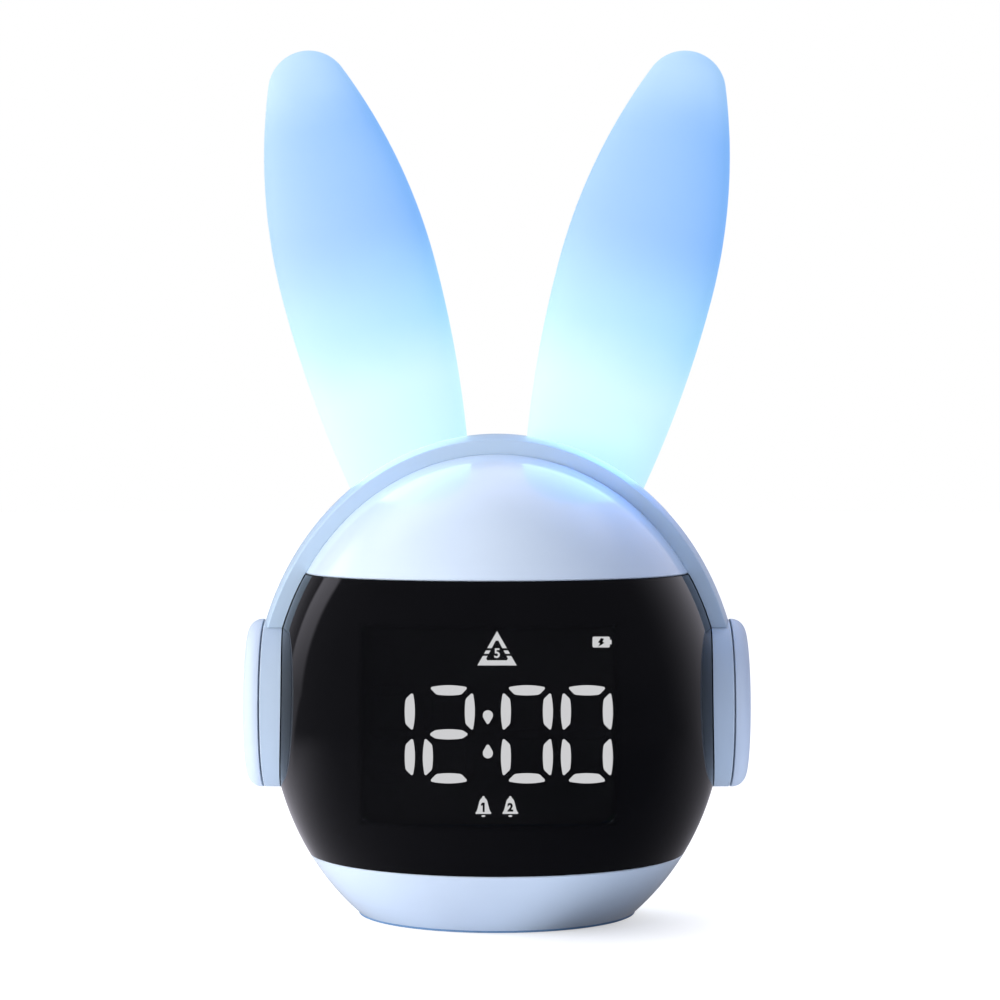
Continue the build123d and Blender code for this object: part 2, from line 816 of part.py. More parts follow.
with BuildPart() as power_switch:
    with BuildSketch(back_plane(board_face_y)):
        with Locations((0, slider_z)):
            Rectangle(power_switch_length, power_switch_width)
    extrude(amount=switch_height)
    with BuildSketch(back_plane(plunger_tip_y - well_floor_gap)):
        with Locations((0, slider_z)):
            Rectangle(slider_length + slider_travel + 2 * fit_gap, slider_height / 2 + 2 * fit_gap)
    extrude(amount=switch_height, mode=Mode.SUBTRACT)
write(power_switch, "power_switch")

with BuildPart() as power_slider:
    with BuildSketch(back_plane(plunger_tip_y)):
        with Locations((-slider_rest_x, slider_z)):
            Rectangle(slider_length, slider_height / 2)
    extrude(amount=flange_back_y - plunger_tip_y)
    with BuildSketch(back_plane(flange_back_y)):
        with Locations((-slider_rest_x, slider_z)):
            Rectangle(slider_flange_length, slider_flange_height)
    extrude(amount=key_flange_thickness)
    with BuildSketch(back_plane(flange_back_y + key_flange_thickness)):
        with Locations((-slider_rest_x, slider_z)):
            Rectangle(slider_length, slider_height)
    extrude(amount=facet_y + key_proud / 2 - flange_back_y - key_flange_thickness)
write(power_slider, "power_slider")

usb_z = facet_centre_z - usb_drop
with BuildPart() as usb_socket:
    with BuildSketch(back_plane(board_face_y)):
        with Locations((0, usb_z)):
            SlotOverall(usb_width, usb_height)
    extrude(amount=facet_y - board_face_y - fit_gap)
    with BuildSketch(back_plane(board_face_y + usb_height / 2)):
        with Locations((0, usb_z)):
            SlotOverall(usb_width - 2 * usb_wall, usb_height - 2 * usb_wall)
            Rectangle(usb_tongue_width, usb_tongue_height, mode=Mode.SUBTRACT)
    extrude(amount=facet_y - board_face_y, mode=Mode.SUBTRACT)
write(usb_socket, "usb_socket")

with BuildPart() as board_screws:
    with BuildSketch(Plane.XZ.offset(-display_back_y - board_thickness)):
        with Locations(*display_boss_spots):
            Circle(small_screw_radius)
    extrude(amount=small_screw_length)
    with BuildSketch(back_plane(display_back_y + board_thickness)):
        with Locations(*display_boss_spots):
            Circle(small_head_radius)
    extrude(amount=small_head_height)
    with BuildSketch(back_plane(main_board_y)):
        with Locations(*main_boss_spots):
            Circle(small_screw_radius)
    extrude(amount=small_screw_length - board_thickness)
    with BuildSketch(Plane.XZ.offset(-main_board_y)):
        with Locations(*main_boss_spots):
            Circle(small_head_radius)
    extrude(amount=small_head_height)
write(board_screws, "board_screws")


# ================================================================ speaker
cone_radius = speaker_radius - cone_edge
rim_depth = speaker_seat_depth + speaker_rim
basket_depth = speaker_seat_depth + speaker_depth
cone_depth = speaker_seat_depth + basket_wall

with BuildPart() as speaker_basket:
    with BuildSketch(speaker_plane.offset(-rim_depth)):
        Circle(speaker_radius)
    extrude(amount=speaker_rim)
    with BuildSketch(speaker_plane.offset(-basket_depth)):
        Circle(magnet_radius + basket_wall)
    with BuildSketch(speaker_plane.offset(-rim_depth)):
        Circle(cone_radius)
    loft()
    with BuildSketch(speaker_plane.offset(basket_wall - basket_depth)):
        Circle(magnet_radius - basket_wall)
    with BuildSketch(speaker_plane.offset(-speaker_seat_depth)):
        Circle(cone_radius - basket_wall)
    loft(mode=Mode.SUBTRACT)
write(speaker_basket, "speaker_basket")

with BuildPart() as speaker_magnet:
    with BuildSketch(speaker_plane.offset(-basket_depth - magnet_height)):
        Circle(magnet_radius)
    extrude(amount=magnet_height)
write(speaker_magnet, "speaker_magnet")

with BuildPart() as speaker_cone:
    # shallow dish, hung inside the basket
    with BuildSketch(speaker_plane.offset(-cone_depth)):
        Circle(cone_radius - cone_edge)
    with BuildSketch(speaker_plane.offset(-cone_depth - cone_drop)):
        Circle(magnet_radius - 3 * cone_wall)
    loft()
    with BuildSketch(speaker_plane.offset(-cone_depth)):
        Circle(cone_radius - cone_edge - cone_wall)
    with BuildSketch(speaker_plane.offset(cone_wall - cone_depth - cone_drop)):
        Circle(magnet_radius - 3 * cone_wall)
    loft(mode=Mode.SUBTRACT)
write(speaker_cone, "speaker_cone")


# ================================================================ headband
# crowned outside: the head's section grown by the band's height and bowed across its width
side_share = (head_rise + band_side_height) / (head_rise + band_height)
crown_reach = band_half_width / sqrt(1 - side_share ** 2)

with BuildPart() as headband:
    with BuildSketch(Plane.XZ):
        oval(-band_height)
        keep_heights(head_centre_z - section_width, head_centre_z + section_width)
    revolve(axis=Axis.Z)
    scale(by=(1, crown_reach / (head_radius + band_height), 1))
    with BuildSketch(Plane.XZ):
        oval(-band_height - run_past)
    extrude(amount=band_half_width, both=True, mode=Mode.INTERSECT)
    fillet(headband.edges().group_by(Axis.Y)[0] + headband.edges().group_by(Axis.Y)[-1], radius=band_edge)
    add(clear_ball, mode=Mode.SUBTRACT)
    with BuildSketch(Plane.XY.offset(cup_centre_z)):
        Rectangle(section_width, section_width)
    extrude(amount=-section_width, mode=Mode.SUBTRACT)
    with BuildSketch(Plane.YZ):
        with Locations((0, cup_centre_z)):
            Circle(cup_radius + fit_gap)
    extrude(amount=section_width, both=True, mode=Mode.SUBTRACT)
write(headband, "headband")


# ================================================================ ear cups
def x_plane(x):
    """A plane across the ear cup's axis: its x is +Y, its y is +Z."""
    return Plane.YZ.offset(x)


cup_spot = (0, cup_centre_z)
cup_face_x = head_radius + cup_proud
spigot_end_x = cup_face_x - spigot_length
cap_back_x = cup_face_x + cup_gap
skirt_end_x = cap_back_x - cup_gap - skirt_depth
cup_board_x = spigot_end_x - cup_board_thickness
cup_switch_top_x = spigot_end_x + switch_height

with BuildPart() as cup_ring_right:
    with BuildSketch(x_plane(spigot_end_x)):
        with Locations(cup_spot):
            Circle(cup_radius)
    extrude(amount=cup_face_x - spigot_end_x)
    chamfer(cup_ring_right.edges().group_by(Axis.X)[-1], length=gap_chamfer)
    add(clear_ball, mode=Mode.SUBTRACT)
    with BuildSketch(x_plane(spigot_end_x)):
        with Locations(cup_spot):
            Circle(spigot_radius)
    extrude(amount=cup_face_x - spigot_end_x)
    with BuildSketch(x_plane(spigot_end_x)):
        with Locations(cup_spot):
            Circle(spigot_radius - spigot_wall)
    extrude(amount=cup_face_x, mode=Mode.SUBTRACT)
    with BuildSketch(x_plane(skirt_end_x - cap_travel - fit_gap)):
        with Locations(cup_spot):
            Circle(skirt_outer_radius + skirt_gap)
            Circle(skirt_outer_radius - skirt_wall - skirt_gap, mode=Mode.SUBTRACT)
    extrude(amount=cup_face_x, mode=Mode.SUBTRACT)
write(cup_ring_right, "cup_ring_right")

with BuildPart() as cup_cap_right:
    with BuildSketch(Plane.XZ):
        with BuildLine():
            face = cap_back_x + cap_thickness
            rim_z = cup_centre_z + cup_radius
            bevel = Line((cap_back_x, rim_z - gap_chamfer), (cap_back_x + gap_chamfer, rim_z))
            rim = Line(bevel @ 1, (cap_back_x + cap_rim, rim_z))
            edge = TangentArc(rim @ 1, (face - cap_dome, rim_z - cap_edge), tangent=rim % 1)
            TangentArc((face, cup_centre_z), edge @ 1, tangent=(0, 1))
            Polyline((face, cup_centre_z), (cap_back_x, cup_centre_z), bevel @ 0)
        make_face()
    revolve(axis=Axis((0, 0, cup_centre_z), (1, 0, 0)))
    with BuildSketch(x_plane(cap_back_x)):
        with Locations(cup_spot):
            Circle(skirt_outer_radius - skirt_wall)
    extrude(amount=cap_thickness - cap_dome - cap_skin, mode=Mode.SUBTRACT)
    with BuildSketch(x_plane(skirt_end_x)):
        with Locations(cup_spot):
            Circle(skirt_outer_radius)
            Circle(skirt_outer_radius - skirt_wall, mode=Mode.SUBTRACT)
    extrude(amount=cap_back_x - skirt_end_x)
    with BuildSketch(x_plane(cup_switch_top_x - plunger_dip)):
        with Locations(cup_spot):
            Circle(plunger_radius)
    extrude(amount=cap_back_x + cap_thickness - cap_skin - cup_switch_top_x + plunger_dip)
write(cup_cap_right, "cup_cap_right")

with BuildPart() as cup_board_right:
    with BuildSketch(x_plane(cup_board_x)):
        with Locations(cup_spot):
            Circle(spigot_radius)
    extrude(amount=cup_board_thickness)
write(cup_board_right, "cup_board_right")

with BuildPart() as cup_switch_right:
    with BuildSketch(x_plane(spigot_end_x)):
        with Locations(cup_spot):
            Rectangle(switch_size, switch_size)
    extrude(amount=switch_height)
    with BuildSketch(x_plane(cup_switch_top_x - plunger_dip - key_travel - well_floor_gap)):
        with Locations(cup_spot):
            Circle(plunger_radius + key_gap)
    extrude(amount=switch_height, mode=Mode.SUBTRACT)
write(cup_switch_right, "cup_switch_right")


# ================================================================ ears
def leaf(inset):
    """An ear's solid leaf, with its surface pulled in by inset: two side arcs and a round tip."""
    half_width = ear_half_width - inset
    tip_radius = ear_tip_radius - inset
    tip_z = ear_length - inset
    climb = tip_z - tip_radius - ear_widest
    side_radius = (half_width ** 2 + climb ** 2 - tip_radius ** 2) / (2 * (half_width - tip_radius))
    share = tip_radius / (side_radius - tip_radius)
    shoulder = ((side_radius - half_width) * share, tip_z - tip_radius + climb * share)
    with BuildPart() as solid:
        with BuildSketch(Plane.XZ):
            with BuildLine():
                lower = TangentArc(
                    (half_width, ear_widest), (ear_root_half_width - inset, -ear_root), tangent=(0, -1)
                )
                upper = TangentArc((half_width, ear_widest), shoulder, tangent=(0, 1))
                TangentArc(shoulder, (0, tip_z), tangent=upper % 1)
                Polyline((0, tip_z), (0, -ear_root), lower @ 1)
            make_face()
        revolve(axis=Axis.Z)
        scale(by=(1, (ear_half_thickness - inset) / half_width, 1))
    return solid.part


ear_outside = leaf(0)
ear_inside = leaf(ear_wall)

with BuildPart() as ear_right:
    with Locations(ear_plane):
        add(ear_outside)
        add(ear_inside, mode=Mode.SUBTRACT)
    add(clear_ball, mode=Mode.SUBTRACT)
write(ear_right, "ear_right")

with BuildPart() as ear_post_right:
    with BuildSketch(ear_plane.offset(-post_flange_depth)):
        Ellipse(post_half_width + post_flange, post_half_thickness + post_flange)
    extrude(amount=2 * post_flange_depth)
    add(inner_ball, mode=Mode.INTERSECT)
    with BuildSketch(ear_plane.offset(-post_flange_depth)):
        Ellipse(post_half_width, post_half_thickness)
    extrude(amount=post_flange_depth + post_height)
    with BuildSketch(ear_plane.offset(-post_flange_depth)):
        Ellipse(post_half_width - post_wall, post_half_thickness - post_wall)
    extrude(amount=post_flange_depth + post_height, mode=Mode.SUBTRACT)
write(ear_post_right, "ear_post_right")

with BuildPart() as ear_light_board_right:
    with BuildSketch(ear_plane.offset(post_height)):
        Ellipse(post_half_width, post_half_thickness)
    extrude(amount=ear_board_thickness)
write(ear_light_board_right, "ear_light_board_right")

with BuildPart() as ear_leds_right:
    with BuildSketch(ear_plane.offset(post_height + ear_board_thickness)):
        with Locations((-ear_led_spacing, 0), (0, 0), (ear_led_spacing, 0)):
            Rectangle(ear_led_size, ear_led_size)
    extrude(amount=ear_led_height)
write(ear_leds_right, "ear_leds_right")

# ================================================================ the left side mirrors the right
right_pieces = {
    "cup_ring": cup_ring_right,
    "cup_cap": cup_cap_right,
    "cup_board": cup_board_right,
    "cup_switch": cup_switch_right,
    "ear": ear_right,
    "ear_post": ear_post_right,
    "ear_light_board": ear_light_board_right,
    "ear_leds": ear_leds_right,
}
for piece_name, right_piece in right_pieces.items():
    with BuildPart() as left_piece:
        mirror(right_piece.part, about=Plane.YZ)
    write(left_piece, f"{piece_name}_left")
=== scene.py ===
"""Dresses a bedside clock with a ball-shaped head and two lit ears, and stages it for a studio picture.

Lengths are metres. +Z is up, the face looks along -Y, and the origin is on the table under the head.
"""

from math import acos, cos, pi, radians, sin, sqrt
from operator import attrgetter

import bpy
from bpy.props import FloatProperty, FloatVectorProperty, PointerProperty
from mathutils import Matrix, Vector


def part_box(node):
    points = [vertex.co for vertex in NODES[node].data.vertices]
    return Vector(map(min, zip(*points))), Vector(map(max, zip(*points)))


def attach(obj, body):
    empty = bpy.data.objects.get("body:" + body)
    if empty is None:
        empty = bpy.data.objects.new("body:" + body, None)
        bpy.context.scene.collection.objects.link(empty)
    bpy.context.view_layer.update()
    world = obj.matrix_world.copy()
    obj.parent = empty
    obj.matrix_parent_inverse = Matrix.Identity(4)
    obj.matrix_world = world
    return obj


bl_info = {
    "name": "Bedside Clock",
    "version": (1, 0, 0),
    "blender": (4, 5, 0),
    "location": "View3D > Sidebar > Bedside Clock",
    "description": "Finishes the clock's parts, draws its signs and sets up its studio",
    "category": "Object",
}

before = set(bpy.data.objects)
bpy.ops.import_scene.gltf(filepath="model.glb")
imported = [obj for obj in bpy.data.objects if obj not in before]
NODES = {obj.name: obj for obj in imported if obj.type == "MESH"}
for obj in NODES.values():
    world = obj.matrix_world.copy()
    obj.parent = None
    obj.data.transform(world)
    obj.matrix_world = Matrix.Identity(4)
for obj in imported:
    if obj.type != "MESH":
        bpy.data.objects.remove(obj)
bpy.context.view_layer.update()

MM = 0.001
DISPLAY_LOW, DISPLAY_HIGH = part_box("display_frame")
DISPLAY_CENTRE = (DISPLAY_LOW + DISPLAY_HIGH) / 2
LENS_LOW, LENS_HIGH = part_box("lens")
BAND_LOW, BAND_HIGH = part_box("headband")
SHELL_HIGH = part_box("rear_shell")[1]
SHELL_EDGE_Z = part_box("front_shell")[0].z
# the head is a ball that is taller than it is wide, and the lens is its front
HEAD_RADIUS = -LENS_LOW.y
HEAD_CENTRE_Z = 0.0473
HEAD_RISE = SHELL_HIGH.z - HEAD_CENTRE_Z
SIDES = ("right", "left")


# ---- settings
def colour_setting(name, description, default):
    """A colour that a user can change."""
    return FloatVectorProperty(
        name=name, description=description, default=default, size=3, min=0, max=1, subtype="COLOR"
    )


def number_setting(name, description, default, **limits):
    """A number that a user can change."""
    return FloatProperty(name=name, description=description, default=default, **limits)


def length_setting(name, description, default, **limits):
    """A length from nothing up."""
    return number_setting(name, description, default, min=0, subtype="DISTANCE", unit="LENGTH", **limits)


def share_setting(name, description, default):
    """A share from nothing to all."""
    return number_setting(name, description, default, min=0, max=1, subtype="FACTOR")


def power_setting(name, description, default):
    """A lamp's power."""
    return number_setting(name, description, default, min=0, precision=4, subtype="POWER")


class ShellSettings(bpy.types.PropertyGroup):
    """The moulded casing: its colours and the grain of its mould."""

    shell_colour: colour_setting("Head", "Colour of the front and rear shells", (0.75, 0.845, 0.925))
    band_colour: colour_setting("Headband", "Colour of the headband", (0.555, 0.685, 0.80))
    ring_colour: colour_setting("Cup Rings", "Colour of the ear cups' fixed rings", (0.585, 0.69, 0.79))
    cap_colour: colour_setting("Cup Caps", "Colour of the ear cups' caps", (0.685, 0.765, 0.86))
    roughness: share_setting("Roughness", "How dull the moulded surfaces are", 0.42)
    grain_size: length_setting("Grain", "Size of the mould's fine grain", 0.00035, precision=5)
    grain_depth: length_setting("Grain Depth", "Depth of the mould's fine grain", 0.000004, precision=6)
    cloud_size: length_setting("Clouding", "Size of the slow changes of tone", 0.03)
    # the base trim is a thin dark bead under the shells' lower edge: its colour is painted shade of the gap
    # there
    edge_shade_colour: colour_setting("Base Trim", "Colour of the trim under the shells", (0.16, 0.30, 0.50))
    edge_shade_width: length_setting("Base Trim Width", "Width of the trim under the shells", 0.0005, precision=5)
    lip_width: length_setting("Ring Lips", "Width of the lip on each cup ring's edge", 0.00026, precision=5)
    seal_width: length_setting("Band Seal", "Width of the beads beside the headband", 0.00032, precision=5)


class EarSettings(bpy.types.PropertyGroup):
    """The lit ears: milky silicone with light that fades from root to tip."""

    root_colour: colour_setting("Root Light", "Light at the foot of an ear", (0.43, 0.72, 0.74))
    low_colour: colour_setting("Low Light", "Light a third of the way up", (0.23, 0.55, 0.74))
    middle_colour: colour_setting("Middle Light", "Light over the middle", (0.07, 0.315, 0.72))
    tip_colour: colour_setting("Tip Light", "Light at the tip", (0.22, 0.455, 0.72))
    milk_colour: colour_setting("Silicone", "Colour of the silicone without its light", (0.34, 0.33, 0.36))
    strength: number_setting("Strength", "How brightly the ears glow", 1.0, min=0)
    # the ears' glow is made brighter only where it is seen in gloss: a painted reflection
    mirrored: number_setting("In Gloss", "How much brighter the glow looks in glossy parts", 2.8, min=1)


class DisplaySettings(bpy.types.PropertyGroup):
    """The display and the dark lens in front of it."""

    lit_colour: colour_setting("Lit", "Colour of the lit segments and symbols", (0.98, 0.98, 1.0))
    lit_strength: number_setting("Lit Strength", "Brightness of what is lit, behind the lens", 3.9, min=0)
    lens_colour: colour_setting("Lens", "Colour of the lens and of its dark film", (0.0028, 0.0028, 0.0033))
    window_opacity: share_setting("Window Opacity", "How much each face of the lens dims the display", 0.6)
    symbol_thickness: length_setting("Symbols", "Thickness of the display's symbols", 0.00012, precision=5)


class StudioSettings(bpy.types.PropertyGroup):
    """Camera, lamps and floor."""

    camera_distance: length_setting("Camera Distance", "From the camera to the head's axis", 0.6813)
    camera_height: length_setting("Camera Height", "Height of the camera over the table", 0.1079)
    camera_side: length_setting("Camera Side", "How far the camera stands to the right", 0.0007, precision=4)
    camera_pitch: number_setting(
        "Camera Pitch", "How far the camera looks down", radians(1.09), subtype="ANGLE"
    )
    focal_length: number_setting("Focal Length", "The camera's lens", 106.6, subtype="DISTANCE_CAMERA")
    top_power: power_setting("Top", "Lamp from above", 0.7)
    key_power: power_setting("Key", "Lamp from the front left", 5.7)
    side_power: power_setting("Side", "Lamp from the left", 2.2)
    ear_glow_power: power_setting("Ear Glow", "Blue glow of the right ear on the forehead", 0.0062)
    left_fill: colour_setting("Left Fill", "Light from the left on dull surfaces", (0.53, 0.575, 0.67))
    right_fill: colour_setting("Right Fill", "Light from the right on dull surfaces", (0.39, 0.425, 0.57))
    floor_colour: colour_setting("Floor", "Colour of the floor", (0.45, 0.45, 0.46))


# ---- node trees
def fill_input(tree, socket, value):
    """Links a socket to another node's output, or sets its own value."""
    if isinstance(value, bpy.types.NodeSocket):
        tree.links.new(value, socket)
    elif socket.type == "RGBA" and len(value) == 3:
        socket.default_value = (*value, 1)
    else:
        socket.default_value = value


def add_node(tree, kind, inputs=None, **settings):
    """Adds a node with its settings, and fills the named inputs."""
    made = tree.nodes.new(kind)
    for name, value in settings.items():
        setattr(made, name, value)
    for name, value in (inputs or {}).items():
        fill_input(tree, made.inputs[name], value)
    return made


def calculate(tree, operation, *values):
    """A Math node's result."""
    made = add_node(tree, "ShaderNodeMath", operation=operation)
    for socket, value in zip(made.inputs, values):
        fill_input(tree, socket, value)
    return made.outputs[0]


def product(tree, value, *factors):
    """A value multiplied by each of the factors in turn."""
    for factor in factors:
        value = calculate(tree, "MULTIPLY", value, factor)
    return value


def spread(tree, value, low, high, new_low=0, new_high=1, interpolation="LINEAR"):
    """Maps a value from one range onto another, held at both ends."""
    inputs = {"Value": value, "From Min": low, "From Max": high, "To Min": new_low, "To Max": new_high}
    return add_node(tree, "ShaderNodeMapRange", inputs, interpolation_type=interpolation).outputs["Result"]


def fade(tree, value, low, high, new_low=0, new_high=1):
    """Maps a value smoothly from one range onto another, held at both ends."""
    return spread(tree, value, low, high, new_low, new_high, "SMOOTHSTEP")


def between(tree, value, low, full_from, full_to, high):
    """1 where a value lies from full_from to full_to, and fades to 0 at low and at high."""
    return product(tree, fade(tree, value, low, full_from), fade(tree, value, full_to, high, 1, 0))


def mix_values(tree, share, first, second):
    """The first value where share is 0 and the second where it is 1."""
    return add_node(tree, "ShaderNodeMix", {"Factor": share, "A": first, "B": second}).outputs["Result"]


def mix_colours(tree, share, first, second):
    """The first colour where share is 0 and the second where it is 1."""
    made = add_node(tree, "ShaderNodeMix", {"Factor": share}, data_type="RGBA")
    colours = [socket for socket in made.inputs if socket.type == "RGBA"]
    for socket, value in zip(colours, (first, second)):
        fill_input(tree, socket, value)
    return next(socket for socket in made.outputs if socket.type == "RGBA")


def place_in_object(tree):
    """The point's place in its own object, in metres."""
    return add_node(tree, "ShaderNodeTexCoord").outputs["Object"]


def coordinates(tree, vector):
    """A vector's X, Y and Z."""
    return add_node(tree, "ShaderNodeSeparateXYZ", {"Vector": vector}).outputs


def vector_math(tree, operation, *vectors):
    """A Vector Math node's results."""
    return add_node(tree, "ShaderNodeVectorMath", dict(enumerate(vectors)), operation=operation).outputs


def distance(tree, place, point):
    """How far a place is from a point."""
    return vector_math(tree, "DISTANCE", place, point)["Value"]


def noise(tree, place, size, detail=2.0):
    """Cloudy noise whose features have about the given size."""
    made = add_node(tree, "ShaderNodeTexNoise", {"Vector": place, "Scale": 1 / size, "Detail": detail})
    return made.outputs["Fac"]


def vary(tree, cloud, low, high):
    """Maps noise, most of which lies between 0.3 and 0.7, onto a range."""
    return spread(tree, cloud, 0.3, 0.7, low, high)


def bump(tree, height, depth, strength):
    """A normal that follows a height, which runs from nothing to depth."""
    made = add_node(tree, "ShaderNodeBump", {"Height": height, "Distance": depth, "Strength": strength})
    return made.outputs["Normal"]


def tinted(colour, factor):
    """A colour made lighter or darker."""
    return tuple(min(1.0, part * factor) for part in colour)


def empty_tree(owner):
    """The node tree of a material or a world, with nothing in it."""
    owner.use_nodes = True
    owner.node_tree.nodes.clear()
    return owner.node_tree


def new_material(name, **inputs):
    """A material with one Principled shader, and what its finish is made with."""
    material = bpy.data.materials.new(name)
    tree = empty_tree(material)
    shader = add_node(tree, "ShaderNodeBsdfPrincipled")
    add_node(tree, "ShaderNodeOutputMaterial", {"Surface": shader.outputs["BSDF"]})
    connect(shader, **inputs)
    return material, tree, shader, place_in_object(tree)


def connect(shader, **inputs):
    """Fills inputs of a shader, whose names are given with underscores."""
    for name, value in inputs.items():
        fill_input(shader.id_data, shader.inputs[name.replace("_", " ")], value)


# ---- finishes
def moulded_plastic(name, colour, settings, roughness_change=0.0, coat=0.0, coat_roughness=0.12):
    """Satin moulded plastic: fine mould grain, slow clouding and small changes of gloss."""
    coats = {"Coat_Weight": coat, "Coat_Roughness": coat_roughness}
    material, tree, shader, place = new_material(name, IOR=1.48, **coats)
    cloud = noise(tree, place, settings.cloud_size, 3.0)
    grain = noise(tree, place, settings.grain_size)
    polish = noise(tree, place, settings.cloud_size / 6, 4.0)
    level = settings.roughness + roughness_change
    shade = mix_colours(tree, vary(tree, cloud, 0, 1), tinted(colour, 0.975), tinted(colour, 1.02))
    connect(
        shader,
        Base_Color=shade,
        Roughness=vary(tree, polish, level - 0.03, level + 0.04),
        Normal=bump(tree, grain, settings.grain_depth, 0.6),
    )
    return material


def lens_acrylic(settings):
    """Polished dark acrylic: printed black inside, but for a dim window in front of the display."""
    material, tree, shader, place = new_material("Dark lens", IOR=1.3)
    margin = 1.0 * MM
    reach = (DISPLAY_HIGH - DISPLAY_LOW) / 2
    past = []
    for k in (0, 2):    # across and upwards
        offset = calculate(tree, "SUBTRACT", coordinates(tree, place)[k], DISPLAY_CENTRE[k])
        past.append(calculate(tree, "SUBTRACT", calculate(tree, "ABSOLUTE", offset), reach[k] - margin))
    outside = calculate(tree, "MAXIMUM", *past)
    print_edge = fade(tree, outside, -margin, margin, settings.window_opacity, 1)
    smear = noise(tree, place, 12 * MM, 4.0)
    tint = mix_colours(tree, smear, settings.lens_colour, tinted(settings.lens_colour, 1.25))
    roughness = spread(tree, smear, 0.35, 0.7, 0.02, 0.045)
    connect(shader, Base_Color=tint, Alpha=print_edge, Roughness=roughness)
    return material


def ear_silicone(settings, side, root, tip):
    """Milky silicone lit from inside. Its light runs through four colours from root to tip."""
    material, tree, shader, place = new_material(f"Ear silicone {side}", IOR=1.41)
    axis = tip - root
    # the bands of light lean more than the ear does
    lean = 1.9
    normal = Vector((lean * axis.x, axis.y, axis.z))
    normal /= normal.dot(axis)
    from_root = vector_math(tree, "SUBTRACT", place, tuple(root))["Vector"]
    along = vector_math(tree, "DOT_PRODUCT", from_root, tuple(normal))["Value"]
    cloud = noise(tree, place, 14 * MM, 3.0)
    drift = product(tree, calculate(tree, "SUBTRACT", cloud, 0.5), 0.05)
    height = calculate(tree, "ADD", along, drift)
    light = settings.root_colour
    # each colour takes over from the one below it between two shares of the ear's height
    for low, high, colour in (
        (0.22, 0.40, settings.low_colour),
        (0.34, 0.62, settings.middle_colour),
        (0.80, 1.00, settings.tip_colour),
    ):
        light = mix_colours(tree, fade(tree, height, low, high), light, colour)
    grain = noise(tree, place, 0.5 * MM)
    # in glossy rays the glow is painted brighter than it is seen straight: a painted reflection of the ears
    # on the forehead and the band
    in_gloss = add_node(tree, "ShaderNodeLightPath").outputs["Is Glossy Ray"]
    glow = spread(tree, in_gloss, 0, 1, settings.strength, settings.strength * settings.mirrored)
    connect(
        shader,
        Base_Color=mix_colours(tree, cloud, settings.milk_colour, tinted(settings.milk_colour, 1.06)),
        Emission_Color=light,
        Emission_Strength=glow,
        Roughness=vary(tree, cloud, 0.48, 0.56),
        Normal=bump(tree, grain, 0.004 * MM, 0.5),
    )
    return material


def lit_plastic(settings):
    """Diffuser plastic with its light on, a little cloudy."""
    material, tree, shader, place = new_material("Lit diffuser", Roughness=0.5)
    cloud = noise(tree, place, 2.5 * MM)
    glow = mix_colours(tree, cloud, tinted(settings.lit_colour, 0.97), settings.lit_colour)
    connect(
        shader,
        Base_Color=(0.30, 0.30, 0.31),
        Emission_Color=glow,
        Emission_Strength=settings.lit_strength,
        Normal=bump(tree, noise(tree, place, 0.2 * MM), 0.003 * MM, 0.4),
    )
    return material


def dull_film(name, colour):
    """Dull printed or moulded surface with a fine even grain."""
    material, tree, shader, place = new_material(name, Specular_IOR_Level=0.2)
    cloud = noise(tree, place, 6 * MM, 3.0)
    connect(
        shader,
        Base_Color=mix_colours(tree, cloud, tinted(colour, 0.85), tinted(colour, 1.15)),
        Roughness=vary(tree, cloud, 0.6, 0.72),
        Normal=bump(tree, noise(tree, place, 0.15 * MM), 0.004 * MM, 0.5),
    )
    return material


def circuit_board_lacquer():
    """Green lacquer over fine copper tracks that run in steps."""
    coats = {"Coat_Weight": 0.3, "Coat_Roughness": 0.15}
    material, tree, shader, place = new_material("Circuit board", IOR=1.5, **coats)
    tracks = add_node(
        tree,
        "ShaderNodeTexBrick",
        {
            "Vector": place,
            "Scale": 1 / (4 * MM),
            "Mortar Size": 0.06,
            "Color1": (0.010, 0.085, 0.045, 1),
            "Color2": (0.012, 0.100, 0.050, 1),
            "Mortar": (0.030, 0.190, 0.090, 1),
        },
    )
    connect(
        shader,
        Base_Color=tracks.outputs["Color"],
        Roughness=vary(tree, noise(tree, place, 3 * MM), 0.28, 0.38),
        Normal=bump(tree, tracks.outputs["Fac"], 0.02 * MM, 0.5),
    )
    return material


def bare_metal(name, colour, roughness):
    """Plated sheet or turned metal with fine marks from its making."""
    material, tree, shader, place = new_material(name, Metallic=1.0)
    marks = noise(tree, place, 0.3 * MM, 4.0)
    connect(
        shader,
        Base_Color=mix_colours(tree, noise(tree, place, 5 * MM), tinted(colour, 0.92), colour),
        Roughness=vary(tree, marks, roughness - 0.05, roughness + 0.07),
        Normal=bump(tree, marks, 0.004 * MM, 0.4),
    )
    return material


def woven_cloth():
    """Fine dark acoustic cloth: threads that cross over and under."""
    sheen = {"Sheen_Weight": 0.3, "Sheen_Roughness": 0.5}
    material, tree, shader, place = new_material("Grille cloth", Roughness=0.85, **sheen)
    apart = coordinates(tree, place)
    thread = 0.28 * MM
    waves = [calculate(tree, "SINE", product(tree, apart[axis], 2 * pi / thread)) for axis in ("X", "Z")]
    weave = spread(tree, product(tree, *waves), -1, 1)
    connect(
        shader,
        Base_Color=mix_colours(tree, weave, (0.010, 0.012, 0.016), (0.045, 0.050, 0.060)),
        Normal=bump(tree, weave, 0.08 * MM, 0.9),
    )
    return material


def soft_rubber():
    """Grey rubber with a dusty, uneven dullness."""
    material, tree, shader, place = new_material("Foot rubber", Specular_IOR_Level=0.3)
    dust = noise(tree, place, 2 * MM, 5.0)
    connect(
        shader,
        Base_Color=mix_colours(tree, dust, (0.070, 0.075, 0.085), (0.100, 0.105, 0.115)),
        Roughness=vary(tree, dust, 0.7, 0.85),
        Normal=bump(tree, noise(tree, place, 0.25 * MM), 0.01 * MM, 0.6),
    )
    return material


def finish_nodes(material, *names):
    """Gives CAD nodes their finish."""
    for name in names:
        for slot in NODES[name].material_slots:
            slot.material = material


